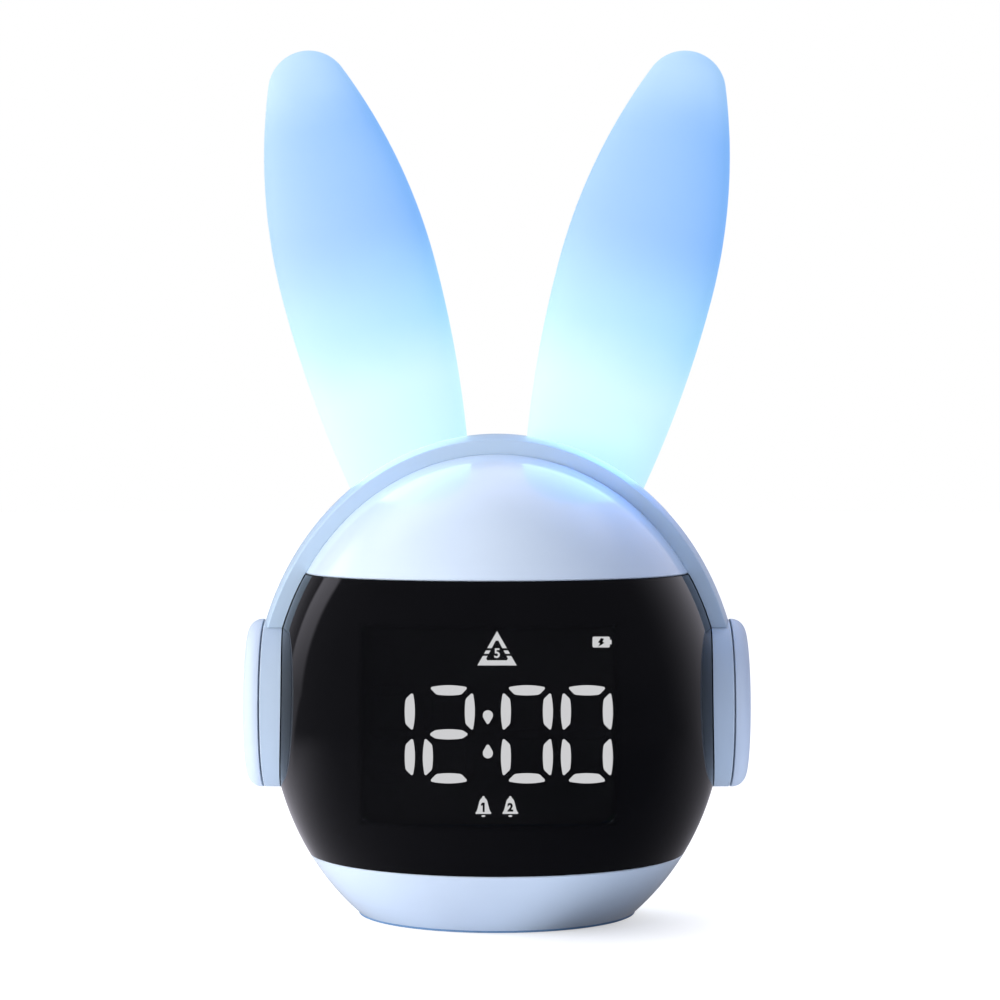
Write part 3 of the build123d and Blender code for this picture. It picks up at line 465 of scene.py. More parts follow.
# ---- signs
def circle_outline(radius, centre=(0.0, 0.0), points=32):
    """Points round a circle."""
    return [
        (centre[0] + radius * cos(2 * pi * k / points), centre[1] + radius * sin(2 * pi * k / points))
        for k in range(points)
    ]


def box_outline(width, height, centre=(0.0, 0.0), turn=0.0):
    """A rectangle's corners, turned about the outline's own origin after it is moved to its centre."""
    corners = [(x * width / 2, y * height / 2) for x, y in ((-1, -1), (1, -1), (1, 1), (-1, 1))]
    turned = Matrix.Rotation(turn, 2)
    return [tuple(turned @ Vector((x + centre[0], y + centre[1]))) for x, y in corners]


def rounded_outline(corners, radius, steps=5):
    """An outline with each corner rounded by a curve that starts radius away from it."""
    points = []
    for k, corner in enumerate(corners):
        here = Vector(corner)
        before = (Vector(corners[k - 1]) - here).normalized() * radius
        after = (Vector(corners[(k + 1) % len(corners)]) - here).normalized() * radius
        for step in range(steps + 1):
            share = step / steps
            points.append(tuple(here + before * (1 - share) ** 2 + after * share ** 2))
    return points


def bell_outlines(height):
    """A bell with a pointed top and a flared rim, and its clapper below."""
    # half widths and heights of the bell's right side, as it is drawn 4.53 high
    drawn_height = 4.53
    profile = [
        (0.00, 2.26), (0.20, 2.20), (0.28, 2.02), (0.30, 1.88), (0.54, 1.68), (0.74, 1.42), (0.87, 1.10),
        (1.08, 0.25), (1.32, -0.66), (1.48, -1.08), (1.74, -1.42), (1.64, -1.63),
    ]
    bell = profile + [(-x, y) for x, y in reversed(profile[1:])]
    clapper_drop, clapper_radius, clapper_flatness = 2.11, 0.42, 0.45
    clapper = circle_outline(clapper_radius, points=20)
    clapper = [(x, y * clapper_flatness - clapper_drop) for x, y in clapper]
    scale = height / drawn_height
    return [[(x * scale, y * scale) for x, y in outline] for outline in (bell, clapper)]


def one_outline(height):
    """A figure one with its flag."""
    corners = [(-0.10, 0.50), (0.14, 0.50), (0.14, -0.50), (-0.08, -0.50)]
    corners += [(-0.08, 0.22), (-0.26, 0.15), (-0.26, 0.33)]
    return [(x * height, y * height) for x, y in corners]


def bolt_outline():
    """A flash of lightning."""
    # the corners in millimetres
    corners = [
        (-0.05, 0.90), (0.625, 0.72), (0.30, 0.108), (0.725, -0.168),
        (-0.725, -1.032), (-0.225, -0.264), (-0.70, -0.084),
    ]
    return [(x * MM, y * MM) for x, y in corners]


def triangle_outlines():
    """A triangle frame that two dark lines cut into a top, a pair of bars and a base."""
    # half widths and heights in millimetres, from the sign's own middle
    apex, base, half_base = 3.79, -3.72, 4.30
    inner_apex, inner_slope = 2.25, 0.53
    blunt_half, blunt_height = 0.30, 1.72
    top_cut, base_cut = 0.07, -1.65
    bars = (-0.45, -1.16)
    notch_out, notch_height = 0.32, -2.15
    floor_out, floor = 0.10, -2.61

    def outer(height):
        return half_base / (apex - base) * (apex - height)

    def inner(height):
        return inner_slope * (inner_apex - height)

    def both_sides(right):
        """An outline's right half with its mirror image."""
        return right + [(-x, z) for x, z in reversed(right) if x > 0]

    corner = inner(base_cut)
    top = [(0, apex), (outer(top_cut), top_cut), (inner(top_cut), top_cut), (blunt_half, blunt_height)]
    right_bar = [(inner(z), z) for z in bars] + [(outer(z), z) for z in reversed(bars)]
    left_bar = [(-x, z) for x, z in reversed(right_bar)]
    foot = [(half_base, base), (outer(base_cut), base_cut), (corner, base_cut)]
    foot += [(corner + notch_out, notch_height), (corner + floor_out, floor)]
    outlines = (both_sides(top), right_bar, left_bar, both_sides(foot))
    return [[(x * MM, z * MM) for x, z in outline] for outline in outlines]


def battery_outlines():
    """A rounded battery with its nub, which doesn't quite touch it."""
    width, height = 3.79 * MM, 2.36 * MM
    nub_width, nub_height = 0.38 * MM, 1.0 * MM
    gap = 0.001 * MM
    nub = box_outline(nub_width, nub_height, ((width + nub_width) / 2 + gap, 0))
    return [rounded_outline(box_outline(width, height), 0.35 * MM), rounded_outline(nub, 0.16 * MM)]


def sun_outlines():
    """A ring with eight rays."""
    ray_length, ray_width, ray_reach = 0.75 * MM, 0.3 * MM, 1.85 * MM
    rays = [box_outline(ray_length, ray_width, (ray_reach, 0), k * pi / 4) for k in range(8)]
    return [circle_outline(0.95 * MM), circle_outline(0.65 * MM), *rays]


def dial_outlines():
    """A clock's dial with an upright hand and a level one."""
    upright = box_outline(0.24 * MM, 0.85 * MM, (0, 0.32 * MM))
    level = box_outline(0.6 * MM, 0.24 * MM, (0.43 * MM, -0.02 * MM))
    return [circle_outline(1.45 * MM), circle_outline(1.15 * MM), upright, level]


def plus_outline(reach=1.2 * MM, half_width=0.2 * MM):
    """A plus sign."""
    arms = [(half_width, reach), (half_width, half_width), (reach, half_width)]
    arms += [(x, -y) for x, y in reversed(arms)]
    return arms + [(-x, -y) for x, y in arms]


def sign_frame(origin, facing):
    """The frame of a sign on a face that looks along -Y or +Y. Its x runs to the reader's right."""
    normal = Vector(facing)
    upward = Vector((0, 0, 1))
    across = upward.cross(normal)
    turned = Matrix((across, upward, normal)).transposed().to_4x4()
    return Matrix.Translation(origin) @ turned


def add_object(name, data):
    """A new object in the scene."""
    made = bpy.data.objects.new(name, data)
    bpy.context.scene.collection.objects.link(made)
    return made


def mesh_from_curve(name, curve, place, material, body):
    """Turns a filled curve into a mesh piece that rides on a body."""
    drawn = add_object(f"{name}_curve", curve)
    bpy.context.view_layer.update()
    mesh = bpy.data.meshes.new_from_object(drawn.evaluated_get(bpy.context.evaluated_depsgraph_get()))
    bpy.data.objects.remove(drawn)
    mesh.name = name
    mesh.transform(place)
    mesh.materials.clear()
    mesh.materials.append(material)
    piece = add_object(name, mesh)
    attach(piece, body)
    return piece


def add_spline(curve, points, closed=True):
    """Adds straight lines through some points to a curve."""
    spline = curve.splines.new("POLY")
    spline.points.add(len(points) - 1)
    for point, place in zip(spline.points, points):
        point.co = (*place, 1)
    spline.use_cyclic_u = closed


def draw_sign(name, outlines, place, thickness, material, body, slot):
    """A thin raised sign. An outline inside another one is a hole."""
    curve = bpy.data.curves.new(name, "CURVE")
    curve.dimensions = "2D"
    curve.fill_mode = "BOTH"
    curve.extrude = thickness / 2
    for outline in outlines:
        add_spline(curve, [(x, y, 0) for x, y in outline])
    return mesh_from_curve(name, curve, place, material, body)


def draw_bead(name, points, width, material, closed=False):
    """A fine round bead along some points, on the clock's own body."""
    curve = bpy.data.curves.new(name, "CURVE")
    curve.dimensions = "3D"
    curve.bevel_depth = width / 2
    curve.bevel_resolution = 2
    add_spline(curve, points, closed)
    return mesh_from_curve(name, curve, Matrix.Identity(4), material, "clock")


def seal_points(y, width, count=97):
    """Points of the bead that closes the gap between the headband and the head, above the lens."""
    level = sqrt(1 - (y / HEAD_RADIUS) ** 2)
    # three quarters of the bead's width lie outside the head
    across = HEAD_RADIUS * level + width / 4
    up = HEAD_RISE * level + width / 4
    reach = acos((LENS_HIGH.z - HEAD_CENTRE_Z) / up)
    turns = [reach * (2 * k / (count - 1) - 1) for k in range(count)]
    return [(across * sin(turn), y, HEAD_CENTRE_Z + up * cos(turn)) for turn in turns]


def lip_points(side, width):
    """Points of the rounded lip on a cup ring's outer edge, next to the cap."""
    low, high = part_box(f"cup_ring_{side}")
    centre = (low + high) / 2
    face_x = high.x if side == "right" else low.x
    radius = (high.z - low.z - width) / 2
    return [(face_x, y, z) for y, z in circle_outline(radius, (centre.y, centre.z), points=128)]


def edge_shade_points(width):
    """Points of the dark bead under the shells' lower edge, which it just reaches into: it paints the shade
    of the gap there.
    """
    level = sqrt(1 - ((HEAD_CENTRE_Z - SHELL_EDGE_Z) / HEAD_RISE) ** 2)
    radius = HEAD_RADIUS * level - width / 2
    return [(x, y, SHELL_EDGE_Z - 0.45 * width) for x, y in circle_outline(radius, points=180)]


def draw_text(name, text, place, thickness, material, body, slot, height, weight=0.02):
    """Plain lettering of a given height, centred on its place."""
    curve = bpy.data.curves.new(name, "FONT")
    curve.body = text
    curve.offset = weight
    curve.extrude = 0.01    # any thickness will do: the transform below sets it
    piece = mesh_from_curve(name, curve, Matrix.Identity(4), material, body)
    points = [vertex.co.copy() for vertex in piece.data.vertices]
    low = Vector(min(point[k] for point in points) for k in range(3))
    high = Vector(max(point[k] for point in points) for k in range(3))
    scale = height / (high.y - low.y)
    flatten = Matrix.Diagonal((scale, scale, thickness / (high.z - low.z), 1))
    piece.data.transform(place @ flatten @ Matrix.Translation(-(low + high) / 2))


# ---- operators: the object
class CLOCK_OT_dress_shells(bpy.types.Operator):
    """Finish the front and rear shells"""

    bl_idname = "clock.dress_shells"
    bl_label = "Shells"

    def execute(self, context):
        settings = context.scene.clock_shell
        coats = {"coat": 0.8, "coat_roughness": 0.09}
        plastic = moulded_plastic("Head plastic", settings.shell_colour, settings, **coats)
        finish_nodes(plastic, "front_shell", "rear_shell")
        return {"FINISHED"}


class CLOCK_OT_dress_base(bpy.types.Operator):
    """Finish the base plate, the foot ring, the dark bead under the shells (painted shade of the gap there)
    and the screws
    """

    bl_idname = "clock.dress_base"
    bl_label = "Base"

    def execute(self, context):
        settings = context.scene.clock_shell
        finish_nodes(moulded_plastic("Base plate", settings.ring_colour, settings, 0.12), "base_plate")
        finish_nodes(soft_rubber(), "foot_ring")
        # the dark blue bead along the shells' lower edge is painted shade of the gap under them
        edge_shade_bead = moulded_plastic("Base trim", settings.edge_shade_colour, settings, 0.12)
        width = settings.edge_shade_width
        draw_bead("base_trim", edge_shade_points(width), width, edge_shade_bead, closed=True)
        steel = bare_metal("Screw steel", (0.48, 0.49, 0.52), 0.34)
        finish_nodes(steel, "base_screws", "shell_screws", "board_screws")
        return {"FINISHED"}


class CLOCK_OT_dress_lens(bpy.types.Operator):
    """Finish the wrap-round lens, with a dim window in front of the display"""

    bl_idname = "clock.dress_lens"
    bl_label = "Lens"

    def execute(self, context):
        finish_nodes(lens_acrylic(context.scene.clock_display), "lens")
        return {"FINISHED"}


class CLOCK_OT_dress_headband(bpy.types.Operator):
    """Finish the headband and the beads between it and the head"""

    bl_idname = "clock.dress_headband"
    bl_label = "Headband"

    def execute(self, context):
        settings = context.scene.clock_shell
        plastic = moulded_plastic("Headband", settings.band_colour, settings, coat=0.2)
        finish_nodes(plastic, "headband")
        inset = 0.2 * MM
        width = settings.seal_width
        for edge, y in (("front", BAND_LOW.y + inset), ("back", BAND_HIGH.y - inset)):
            draw_bead(f"band_seal_{edge}", seal_points(y, width), width, plastic)
        return {"FINISHED"}


class CLOCK_OT_dress_ear_cups(bpy.types.Operator):
    """Finish the ear cups: fixed rings with a fine lip in a lighter colour, partly a painted highlight on
    the ring's edge, and caps that press
    """

    bl_idname = "clock.dress_ear_cups"
    bl_label = "Ear Cups"

    def execute(self, context):
        settings = context.scene.clock_shell
        ring = moulded_plastic("Cup ring", settings.ring_colour, settings)
        cap = moulded_plastic("Cup cap", settings.cap_colour, settings, 0.05)
        # the lip is a rounded, coated bead in the head's lighter colour: its rounding catches real light,
        # and its lighter colour is a painted highlight on the ring's edge
        lip = moulded_plastic("Ring lip", settings.shell_colour, settings, coat=0.5)
        width = settings.lip_width
        for side in SIDES:
            finish_nodes(ring, f"cup_ring_{side}")
            finish_nodes(cap, f"cup_cap_{side}")
            name = f"cup_ring_lip_{side}"
            draw_bead(name, lip_points(side, width), width, lip, closed=True)
        return {"FINISHED"}


class CLOCK_OT_dress_ears(bpy.types.Operator):
    """Finish the lit silicone ears and the posts that carry them"""

    bl_idname = "clock.dress_ears"
    bl_label = "Ears"

    def execute(self, context):
        settings = context.scene.clock_ears
        for side in SIDES:
            vertices = NODES[f"ear_{side}"].data.vertices
            points = sorted((vertex.co.copy() for vertex in vertices), key=attrgetter("z"))
            # the root is the middle of the lowest fiftieth of its points
            lowest = points[: len(points) // 50]
            root = sum(lowest, Vector()) / len(lowest)
            tip = max(points, key=attrgetter("z"))
            finish_nodes(ear_silicone(settings, side, root, tip), f"ear_{side}")
            post = moulded_plastic(f"Ear post {side}", (0.8, 0.82, 0.85), context.scene.clock_shell)
            finish_nodes(post, f"ear_post_{side}")
        return {"FINISHED"}


class CLOCK_OT_dress_display(bpy.types.Operator):
    """Finish the light wells, the lit and the dark diffusers"""

    bl_idname = "clock.dress_display"
    bl_label = "Display"

    def execute(self, context):
        settings = context.scene.clock_display
        finish_nodes(dull_film("Light well black", (0.068, 0.068, 0.070)), "display_frame", "icon_windows")
        finish_nodes(dull_film("Dark diffuser", (0.069, 0.069, 0.071)), "unlit_segments")
        finish_nodes(lit_plastic(settings), "lit_segments")
        return {"FINISHED"}


class CLOCK_OT_draw_symbols(bpy.types.Operator):
    """Draw the lit symbols on the display's film: snooze triangle, battery and two alarm bells"""

    bl_idname = "clock.draw_symbols"
    bl_label = "Display Symbols"

    # places across from the middle and up from the table
    triangle_place = (0.05 * MM, 63.1 * MM)
    snooze_place = (0.05 * MM, 62.07 * MM)
    battery_place = (22.84 * MM, 64.5 * MM)
    bell_places = {"1": (-2.94 * MM, 28.45 * MM), "2": (2.96 * MM, 28.45 * MM)}
    number_drop = 0.17 * MM
    layer_gap = 0.02 * MM

    def execute(self, context):
        settings = context.scene.clock_display
        thickness = settings.symbol_thickness
        lit = bpy.data.materials["Lit diffuser"]
        film = dull_film("Symbol film", settings.lens_colour)

        def lay(layer, draw, name, shape, spot, **options):
            """Draws a sign on the display: the first layer is lit, and the second one is dark."""
            depth = DISPLAY_LOW.y - (layer - 0.5) * thickness - layer * self.layer_gap
            place = sign_frame((spot[0], depth, spot[1]), (0, -1, 0))
            material, slot = (lit, "lit_white") if layer == 1 else (film, "black_plastic")
            draw(name, shape, place, thickness, material, "clock", slot, **options)

        lay(1, draw_sign, "snooze_triangle", triangle_outlines(), self.triangle_place)
        lay(1, draw_text, "snooze_minutes", "5", self.snooze_place, height=2.1 * MM)
        lay(1, draw_sign, "battery_symbol", battery_outlines(), self.battery_place)
        lay(2, draw_sign, "battery_bolt", [bolt_outline()], self.battery_place)
        for number, place in self.bell_places.items():
            lay(1, draw_sign, f"alarm_bell_{number}", bell_outlines(4.53 * MM), place)
            spot = (place[0], place[1] - self.number_drop)
            if number == "1":
                lay(2, draw_sign, "alarm_number_1", [one_outline(2.05 * MM)], spot)
            else:
                lay(2, draw_text, "alarm_number_2", "2", spot, height=1.9 * MM, weight=0.05)
        return {"FINISHED"}


class CLOCK_OT_dress_controls(bpy.types.Operator):
    """Finish the keys on the back, the power slider and the charging socket"""

    bl_idname = "clock.dress_controls"
    bl_label = "Controls"

    def execute(self, context):
        settings = context.scene.clock_shell
        key = moulded_plastic("Key", settings.cap_colour, settings, -0.08, coat=0.2)
        finish_nodes(key, "light_key", "set_key", "alarm_key", "up_key", "down_key")
        finish_nodes(moulded_plastic("Slider", (0.10, 0.12, 0.15), settings), "power_slider")
        finish_nodes(bare_metal("Plated steel", (0.62, 0.63, 0.65), 0.25), "usb_socket")
        return {"FINISHED"}


class CLOCK_OT_draw_key_signs(bpy.types.Operator):
    """Print the signs on the keys and the words beside the slider"""

    bl_idname = "clock.draw_key_signs"
    bl_label = "Key Signs"

    print_thickness = 0.03 * MM
    word_offset = 6.4 * MM
    word_height = 1.5 * MM

    def on_back(self, x, y, z):
        """The frame of a sign printed on a face that looks backwards."""
        return sign_frame((x, y + self.print_thickness / 2, z), (0, 1, 0))

    def execute(self, context):
        ink = dull_film("Sign ink", (0.10, 0.16, 0.24))
        signs = {
            "light_key": sun_outlines(),
            "set_key": dial_outlines(),
            "alarm_key": bell_outlines(2.9 * MM),
            "up_key": [plus_outline()],
            "down_key": [box_outline(2.4 * MM, 0.4 * MM)],
        }
        for node, outlines in signs.items():
            low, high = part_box(node)
            place = self.on_back((low.x + high.x) / 2, high.y, (low.z + high.z) / 2)
            name = node.replace("key", "sign")
            draw_sign(name, outlines, place, self.print_thickness, ink, f"{node}_body", "black_plastic")
        slider = sum(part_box("power_slider"), Vector()) / 2
        for text, side in (("ON", -1), ("OFF", 1)):
            place = self.on_back(side * self.word_offset, SHELL_HIGH.y, slider.z)
            name = f"slider_{text.lower()}"
            thickness = self.print_thickness
            draw_text(name, text, place, thickness, ink, "clock", "black_plastic", self.word_height)
        return {"FINISHED"}


class CLOCK_OT_lay_grille_cloth(bpy.types.Operator):
    """Lay a round of cloth behind the speaker grille"""

    bl_idname = "clock.lay_grille_cloth"
    bl_label = "Grille Cloth"

    radius = 7.2 * MM
    over_cone = 2.0 * MM     # from the middle of the cone to the cloth
    belly = 0.25 * MM        # how far the cloth bows outwards
    rings = 8
    spokes = 48

    def execute(self, context):
        cone = sum(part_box("speaker_cone"), Vector()) / 2
        magnet = sum(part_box("speaker_magnet"), Vector()) / 2
        outward = (cone - magnet).normalized()
        across = Vector((1, 0, 0))
        upward = outward.cross(across)
        middle = cone + outward * self.over_cone
        points = [middle + outward * self.belly]
        faces = []
        for ring in range(1, self.rings + 1):
            share = ring / self.rings
            bow = outward * self.belly * (1 - share ** 2)
            for x, y in circle_outline(self.radius * share, points=self.spokes):
                points.append(middle + across * x + upward * y + bow)
        for spoke in range(self.spokes):
            after = (spoke + 1) % self.spokes
            faces.append((0, 1 + spoke, 1 + after))
            for inner in range(1, 1 + (self.rings - 1) * self.spokes, self.spokes):
                outer = inner + self.spokes
                faces.append((inner + spoke, outer + spoke, outer + after, inner + after))
        mesh = bpy.data.meshes.new("grille_cloth")
        mesh.from_pydata(points, [], faces)
        mesh.shade_smooth()
        mesh.materials.append(woven_cloth())
        cloth = add_object("grille_cloth", mesh)
        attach(cloth, "clock")
        return {"FINISHED"}


class CLOCK_OT_dress_inside(bpy.types.Operator):
    """Finish the boards, chips, switches, speaker and battery"""

    bl_idname = "clock.dress_inside"
    bl_label = "Inside Parts"

    def execute(self, context):
        def pairs(*kinds):
            return [f"{kind}_{side}" for kind in kinds for side in SIDES]

        boards = circuit_board_lacquer()
        finish_nodes(boards, "display_board", "main_board", *pairs("cup_board", "ear_light_board"))
        black = dull_film("Chip black", (0.02, 0.02, 0.022))
        finish_nodes(black, "key_switches", "power_switch", "board_chips", *pairs("cup_switch"))
        finish_nodes(lit_plastic(context.scene.clock_display), "display_leds", *pairs("ear_leds"))
        steel = bare_metal("Pressed steel", (0.55, 0.56, 0.58), 0.4)
        finish_nodes(steel, "speaker_basket", "speaker_magnet")
        finish_nodes(dull_film("Cone paper", (0.035, 0.033, 0.030)), "speaker_cone")
        finish_nodes(dull_film("Battery sleeve", (0.06, 0.20, 0.42)), "battery_cell")
        return {"FINISHED"}


# ---- operator: the studio
def add_lamp(name, power, size, location, target, colour=(1, 1, 1)):
    """A soft lamp that looks at a point and lights dull surfaces only."""
    lamp = bpy.data.lights.new(name, "AREA")
    lamp.shape = "RECTANGLE"
    lamp.size, lamp.size_y = size
    lamp.energy = power
    lamp.color = colour
    holder = add_object(name, lamp)
    holder.location = location
    holder.rotation_euler = (Vector(target) - Vector(location)).to_track_quat("-Z", "Y").to_euler()
    holder.visible_camera = False
    holder.visible_glossy = False


def ray_kinds(tree):
    """1 for rays that the picture sees straight or through glass, and 1 for mirrored rays."""
    path = add_node(tree, "ShaderNodeLightPath").outputs
    seen = calculate(tree, "MAXIMUM", path["Is Camera Ray"], path["Is Transmission Ray"])
    return seen, path["Is Glossy Ray"]


def glowing_paint(tree, paint, light, strength):
    """A dull surface with a glow over it."""
    dull = add_node(tree, "ShaderNodeBsdfDiffuse", {"Color": paint}).outputs[0]
    glow = add_node(tree, "ShaderNodeEmission", {"Color": light, "Strength": strength}).outputs[0]
    return add_node(tree, "ShaderNodeAddShader", {0: dull, 1: glow}).outputs[0]


class CLOCK_OT_stage_studio(bpy.types.Operator):
    """Set up the floor, the white surroundings, the lamps and the camera"""

    bl_idname = "clock.stage_studio"
    bl_label = "Studio"

    # Each fade has two ends and the levels there, which are 0 and 1 if they aren't given.
    # the room that gloss sees, over a direction's parts
    room_tint = (1.0, 0.97, 1.09)
    strip_edges = [radians(angle) for angle in (24, 28, 40, 43)]    # from the left towards the back
    strip_rise = (-0.12, 0.45, 0.06, 1.35)
    strip_top = (0.46, 0.62, 1, 0)
    left_depth = (0.55, 0.95, 0.12, 0.29)
    right_depth = (0.0, 0.85, 0.15, 0.85)
    right_rise = (-0.12, 0.25, 0.62, 1.05)
    left_to_right = (-0.1, 0.1)
    overhead_depth = (-0.1, 0.4, 0, 1.2)
    overhead_rise = (0.62, 0.8)
    # the fill that dull surfaces see, over a direction's parts
    fill_across = (-0.8, 0.65)
    right_fill_rise = (0.12, 0.65)
    right_fill_factors = (0.05, 1.3)
    # the floor in the picture, over the distance from the middle of its shadow, which is partly cast and
    # partly painted
    floor_radius = 4.0
    shade_middle = (0.02, -0.02, 0)
    shade_lift = (0.0, 0.045, 0.52, 0.93)
    # the floor that dull surfaces see: painted shade under the object, and painted light and a painted glow
    # beside it
    foot_middle = (0.03, -0.02, 0)
    foot_edge = (0.014, 0.040)
    bounce_across = (-0.10, -0.03)
    foot_bounce = (0.10, 0.13, 0.185)
    left_bounce = (1.0, 1.0, 1.0)
    right_bounce = (0.74, 0.775, 0.90)
    glow_colour = (0.84, 0.91, 1.0)
    glow_ring = (0.015, 0.040, 0.07, 0.15)
    glow_right = (-0.01, 0.03, 0, 0.8)
    glow_left = (-0.065, -0.025, 1.15, 0)
    glow_everywhere = 0.09
    # the floor that gloss sees: bright behind the object, and the room's level far off
    near_depth = (-0.05, 0.06, 0.17, 0.65)
    near_across = (-0.05, 0.05, 1, 0.4)
    far_edge = (0.10, 0.35)
    # each white lamp's power setting, its size and its place
    lamps = {
        "Top lamp": ("top_power", (0.5, 0.4), (-0.1, -0.4, 1.05)),
        "Key lamp": ("key_power", (0.42, 0.44), (-0.83, -0.69, 0.21)),
        "Side lamp": ("side_power", (0.4, 0.5), (-1.0, -0.2, 0.28)),
    }
    head_middle = (0, 0, 0.06)
    # the ears' light on the forehead: the right lamp's place and aim, which the left one mirrors
    ear_glow_shares = {"right": 1.0, "left": 0.45}
    ear_glow_colour = (0.08, 0.33, 1.0)
    ear_glow_size = (0.016, 0.016)
    ear_glow_line = ((0.032, -0.008, 0.117), (0.026, -0.012, 0.098))

    def room_in_gloss(self, tree, direction):
        """The level of the room in gloss: dark in front, grey behind, and a strip lamp at the back left."""
        across, depth, rise = direction
        turn = calculate(tree, "ARCTAN2", depth, product(tree, across, -1.0))
        strip = product(tree, between(tree, turn, *self.strip_edges), spread(tree, rise, *self.strip_rise))
        strip = product(tree, strip, fade(tree, rise, *self.strip_top))
        left = fade(tree, depth, *self.left_depth)
        right = fade(tree, depth, *self.right_depth)
        right = product(tree, right, spread(tree, rise, *self.right_rise))
        behind = mix_values(tree, spread(tree, across, *self.left_to_right), left, right)
        overhead = fade(tree, depth, *self.overhead_depth)
        overhead = product(tree, overhead, fade(tree, rise, *self.overhead_rise))
        return calculate(tree, "ADD", calculate(tree, "ADD", behind, strip), overhead)

    def add_surroundings(self, scene, settings):
        """White behind the object. Dull surfaces see a fill, and gloss sees a dark room with a strip."""
        world = bpy.data.worlds.new("Studio")
        scene.world = world
        tree = empty_tree(world)
        seen, mirrored = ray_kinds(tree)
        direction = coordinates(tree, add_node(tree, "ShaderNodeTexCoord").outputs["Generated"])
        upward = spread(tree, direction["Z"], *self.right_fill_rise)
        ends = [tinted(settings.right_fill, factor) for factor in self.right_fill_factors]
        right_fill = mix_colours(tree, upward, *ends)
        to_right = spread(tree, direction["X"], *self.fill_across)
        fill = mix_colours(tree, to_right, settings.left_fill, right_fill)
        level = self.room_in_gloss(tree, direction)
        levels = [product(tree, level, share) for share in self.room_tint]
        room = add_node(tree, "ShaderNodeCombineColor", dict(enumerate(levels))).outputs["Color"]
        colour = mix_colours(tree, seen, mix_colours(tree, mirrored, fill, room), (1, 1, 1))
        background = add_node(tree, "ShaderNodeBackground", {"Color": colour}).outputs["Background"]
        add_node(tree, "ShaderNodeOutputWorld", {"Surface": background})

    def floor_in_picture(self, tree, place, settings):
        """A pale floor, lifted until it clips to white away from the shadow beside the foot, and lifted less
        near it, which paints a shadow there.
        """
        lift = fade(tree, distance(tree, place, self.shade_middle), *self.shade_lift)
        return glowing_paint(tree, settings.floor_colour, (1, 1, 1), lift)

    def floor_for_dull(self, tree, place):
        """What dull surfaces see: a floor with painted light on the left, painted shade under the foot, and
        a painted glow beside it.
        """
        across = coordinates(tree, place)["X"]
        from_foot = distance(tree, place, self.foot_middle)
        to_right = fade(tree, across, *self.bounce_across)
        bounce = mix_colours(tree, to_right, self.left_bounce, self.right_bounce)
        outside = fade(tree, from_foot, *self.foot_edge)
        bounce = mix_colours(tree, outside, self.foot_bounce, bounce)
        sides = [fade(tree, across, *ends) for ends in (self.glow_right, self.glow_left)]
        beside = calculate(tree, "ADD", *sides)
        ring = between(tree, from_foot, *self.glow_ring)
        glow = calculate(tree, "MULTIPLY_ADD", ring, beside, self.glow_everywhere)
        return glowing_paint(tree, bounce, self.glow_colour, glow)

    def floor_in_gloss(self, tree, place):
        """What gloss sees: white behind the object, dark in front, and far off as dark as the room."""
        apart = coordinates(tree, place)
        near = fade(tree, apart["Y"], *self.near_depth)
        near = product(tree, near, spread(tree, apart["X"], *self.near_across))
        direction = coordinates(tree, vector_math(tree, "NORMALIZE", place)["Vector"])
        room = self.room_in_gloss(tree, direction)
        far = fade(tree, distance(tree, place, (0, 0, 0)), *self.far_edge)
        level = mix_values(tree, far, near, room)
        return add_node(tree, "ShaderNodeEmission", {"Color": self.room_tint, "Strength": level}).outputs[0]

    def add_floor(self, settings):
        """A wide round floor with a look of its own for the picture, for dull surfaces and for gloss."""
        points = [(x, y, 0) for x, y in circle_outline(self.floor_radius, points=64)]
        mesh = bpy.data.meshes.new("floor")
        mesh.from_pydata(points, [], [tuple(range(len(points)))])
        material = bpy.data.materials.new("Floor")
        tree = empty_tree(material)
        seen, mirrored = ray_kinds(tree)
        place = place_in_object(tree)
        dull = self.floor_for_dull(tree, place)
        picture = self.floor_in_picture(tree, place, settings)
        shown = add_node(tree, "ShaderNodeMixShader", {0: seen, 1: dull, 2: picture}).outputs[0]
        gloss = self.floor_in_gloss(tree, place)
        chosen = add_node(tree, "ShaderNodeMixShader", {0: mirrored, 1: shown, 2: gloss}).outputs[0]
        add_node(tree, "ShaderNodeOutputMaterial", {"Surface": chosen})
        mesh.materials.append(material)
        floor = add_object("floor", mesh)

    def add_lamps(self, settings):
        """The white lamps, and the blue light that each ear throws on the forehead."""
        for name, (power, size, place) in self.lamps.items():
            add_lamp(name, getattr(settings, power), size, place, self.head_middle)
        for side, share in self.ear_glow_shares.items():
            across = 1 if side == "right" else -1
            place, aim = ((across * x, y, z) for x, y, z in self.ear_glow_line)
            power = settings.ear_glow_power * share
            add_lamp(f"Ear glow {side}", power, self.ear_glow_size, place, aim, self.ear_glow_colour)

    def add_camera(self, scene, settings):
        """A long lens a little above the middle of the head."""
        camera = bpy.data.cameras.new("Camera")
        camera.lens = settings.focal_length
        camera.sensor_width = 36
        camera.clip_start = 0.01
        holder = add_object("Camera", camera)
        holder.location = (settings.camera_side, -settings.camera_distance, settings.camera_height)
        holder.rotation_euler = (pi / 2 - settings.camera_pitch, 0, 0)
        scene.camera = holder

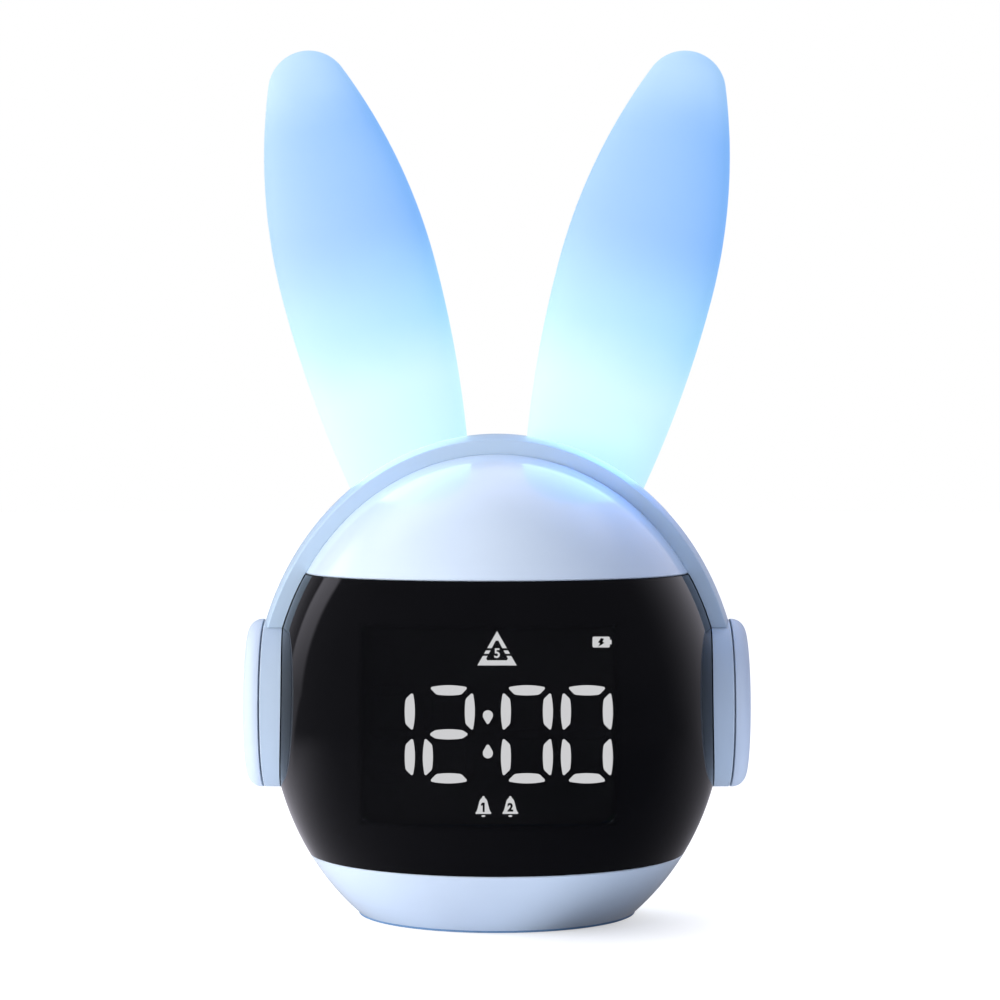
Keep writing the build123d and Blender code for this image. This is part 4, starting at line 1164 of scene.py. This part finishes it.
    def execute(self, context):
        scene = context.scene
        settings = scene.clock_studio
        scene.view_settings.view_transform = "Standard"
        self.add_surroundings(scene, settings)
        self.add_floor(settings)
        self.add_lamps(settings)
        self.add_camera(scene, settings)
        return {"FINISHED"}


# ---- panel and registration
STEPS = (
    CLOCK_OT_stage_studio,
    CLOCK_OT_dress_shells,
    CLOCK_OT_dress_base,
    CLOCK_OT_dress_lens,
    CLOCK_OT_dress_headband,
    CLOCK_OT_dress_ear_cups,
    CLOCK_OT_dress_ears,
    CLOCK_OT_dress_display,
    CLOCK_OT_draw_symbols,
    CLOCK_OT_dress_controls,
    CLOCK_OT_draw_key_signs,
    CLOCK_OT_lay_grille_cloth,
    CLOCK_OT_dress_inside,
)
SETTINGS = {
    "clock_shell": ShellSettings,
    "clock_ears": EarSettings,
    "clock_display": DisplaySettings,
    "clock_studio": StudioSettings,
}


class CLOCK_PT_sidebar(bpy.types.Panel):
    """Lists the clock's pieces and their settings"""

    bl_idname = "CLOCK_PT_sidebar"
    bl_label = "Bedside Clock"
    bl_space_type = "VIEW_3D"
    bl_region_type = "UI"
    bl_category = "Bedside Clock"

    def draw(self, context):
        for step in STEPS:
            self.layout.operator(step.bl_idname)
        for name, group in SETTINGS.items():
            column = self.layout.box().column()
            column.label(text=name.replace("clock_", "").title())
            for setting in group.__annotations__:
                column.prop(getattr(context.scene, name), setting)


def register():
    """Makes the settings, the operators and the panel known to Blender."""
    for name, group in SETTINGS.items():
        bpy.utils.register_class(group)
        setattr(bpy.types.Scene, name, PointerProperty(type=group))
    for step in STEPS:
        bpy.utils.register_class(step)
    bpy.utils.register_class(CLOCK_PT_sidebar)


def unregister():
    """Takes them back."""
    bpy.utils.unregister_class(CLOCK_PT_sidebar)
    for step in reversed(STEPS):
        bpy.utils.unregister_class(step)
    for name, group in SETTINGS.items():
        delattr(bpy.types.Scene, name)
        bpy.utils.unregister_class(group)


def main():
    """Dresses the clock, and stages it."""
    register()
    for step in STEPS:
        name = step.bl_idname.split(".")[1]
        getattr(bpy.ops.clock, name)()


if __name__ == "__main__":
    main()
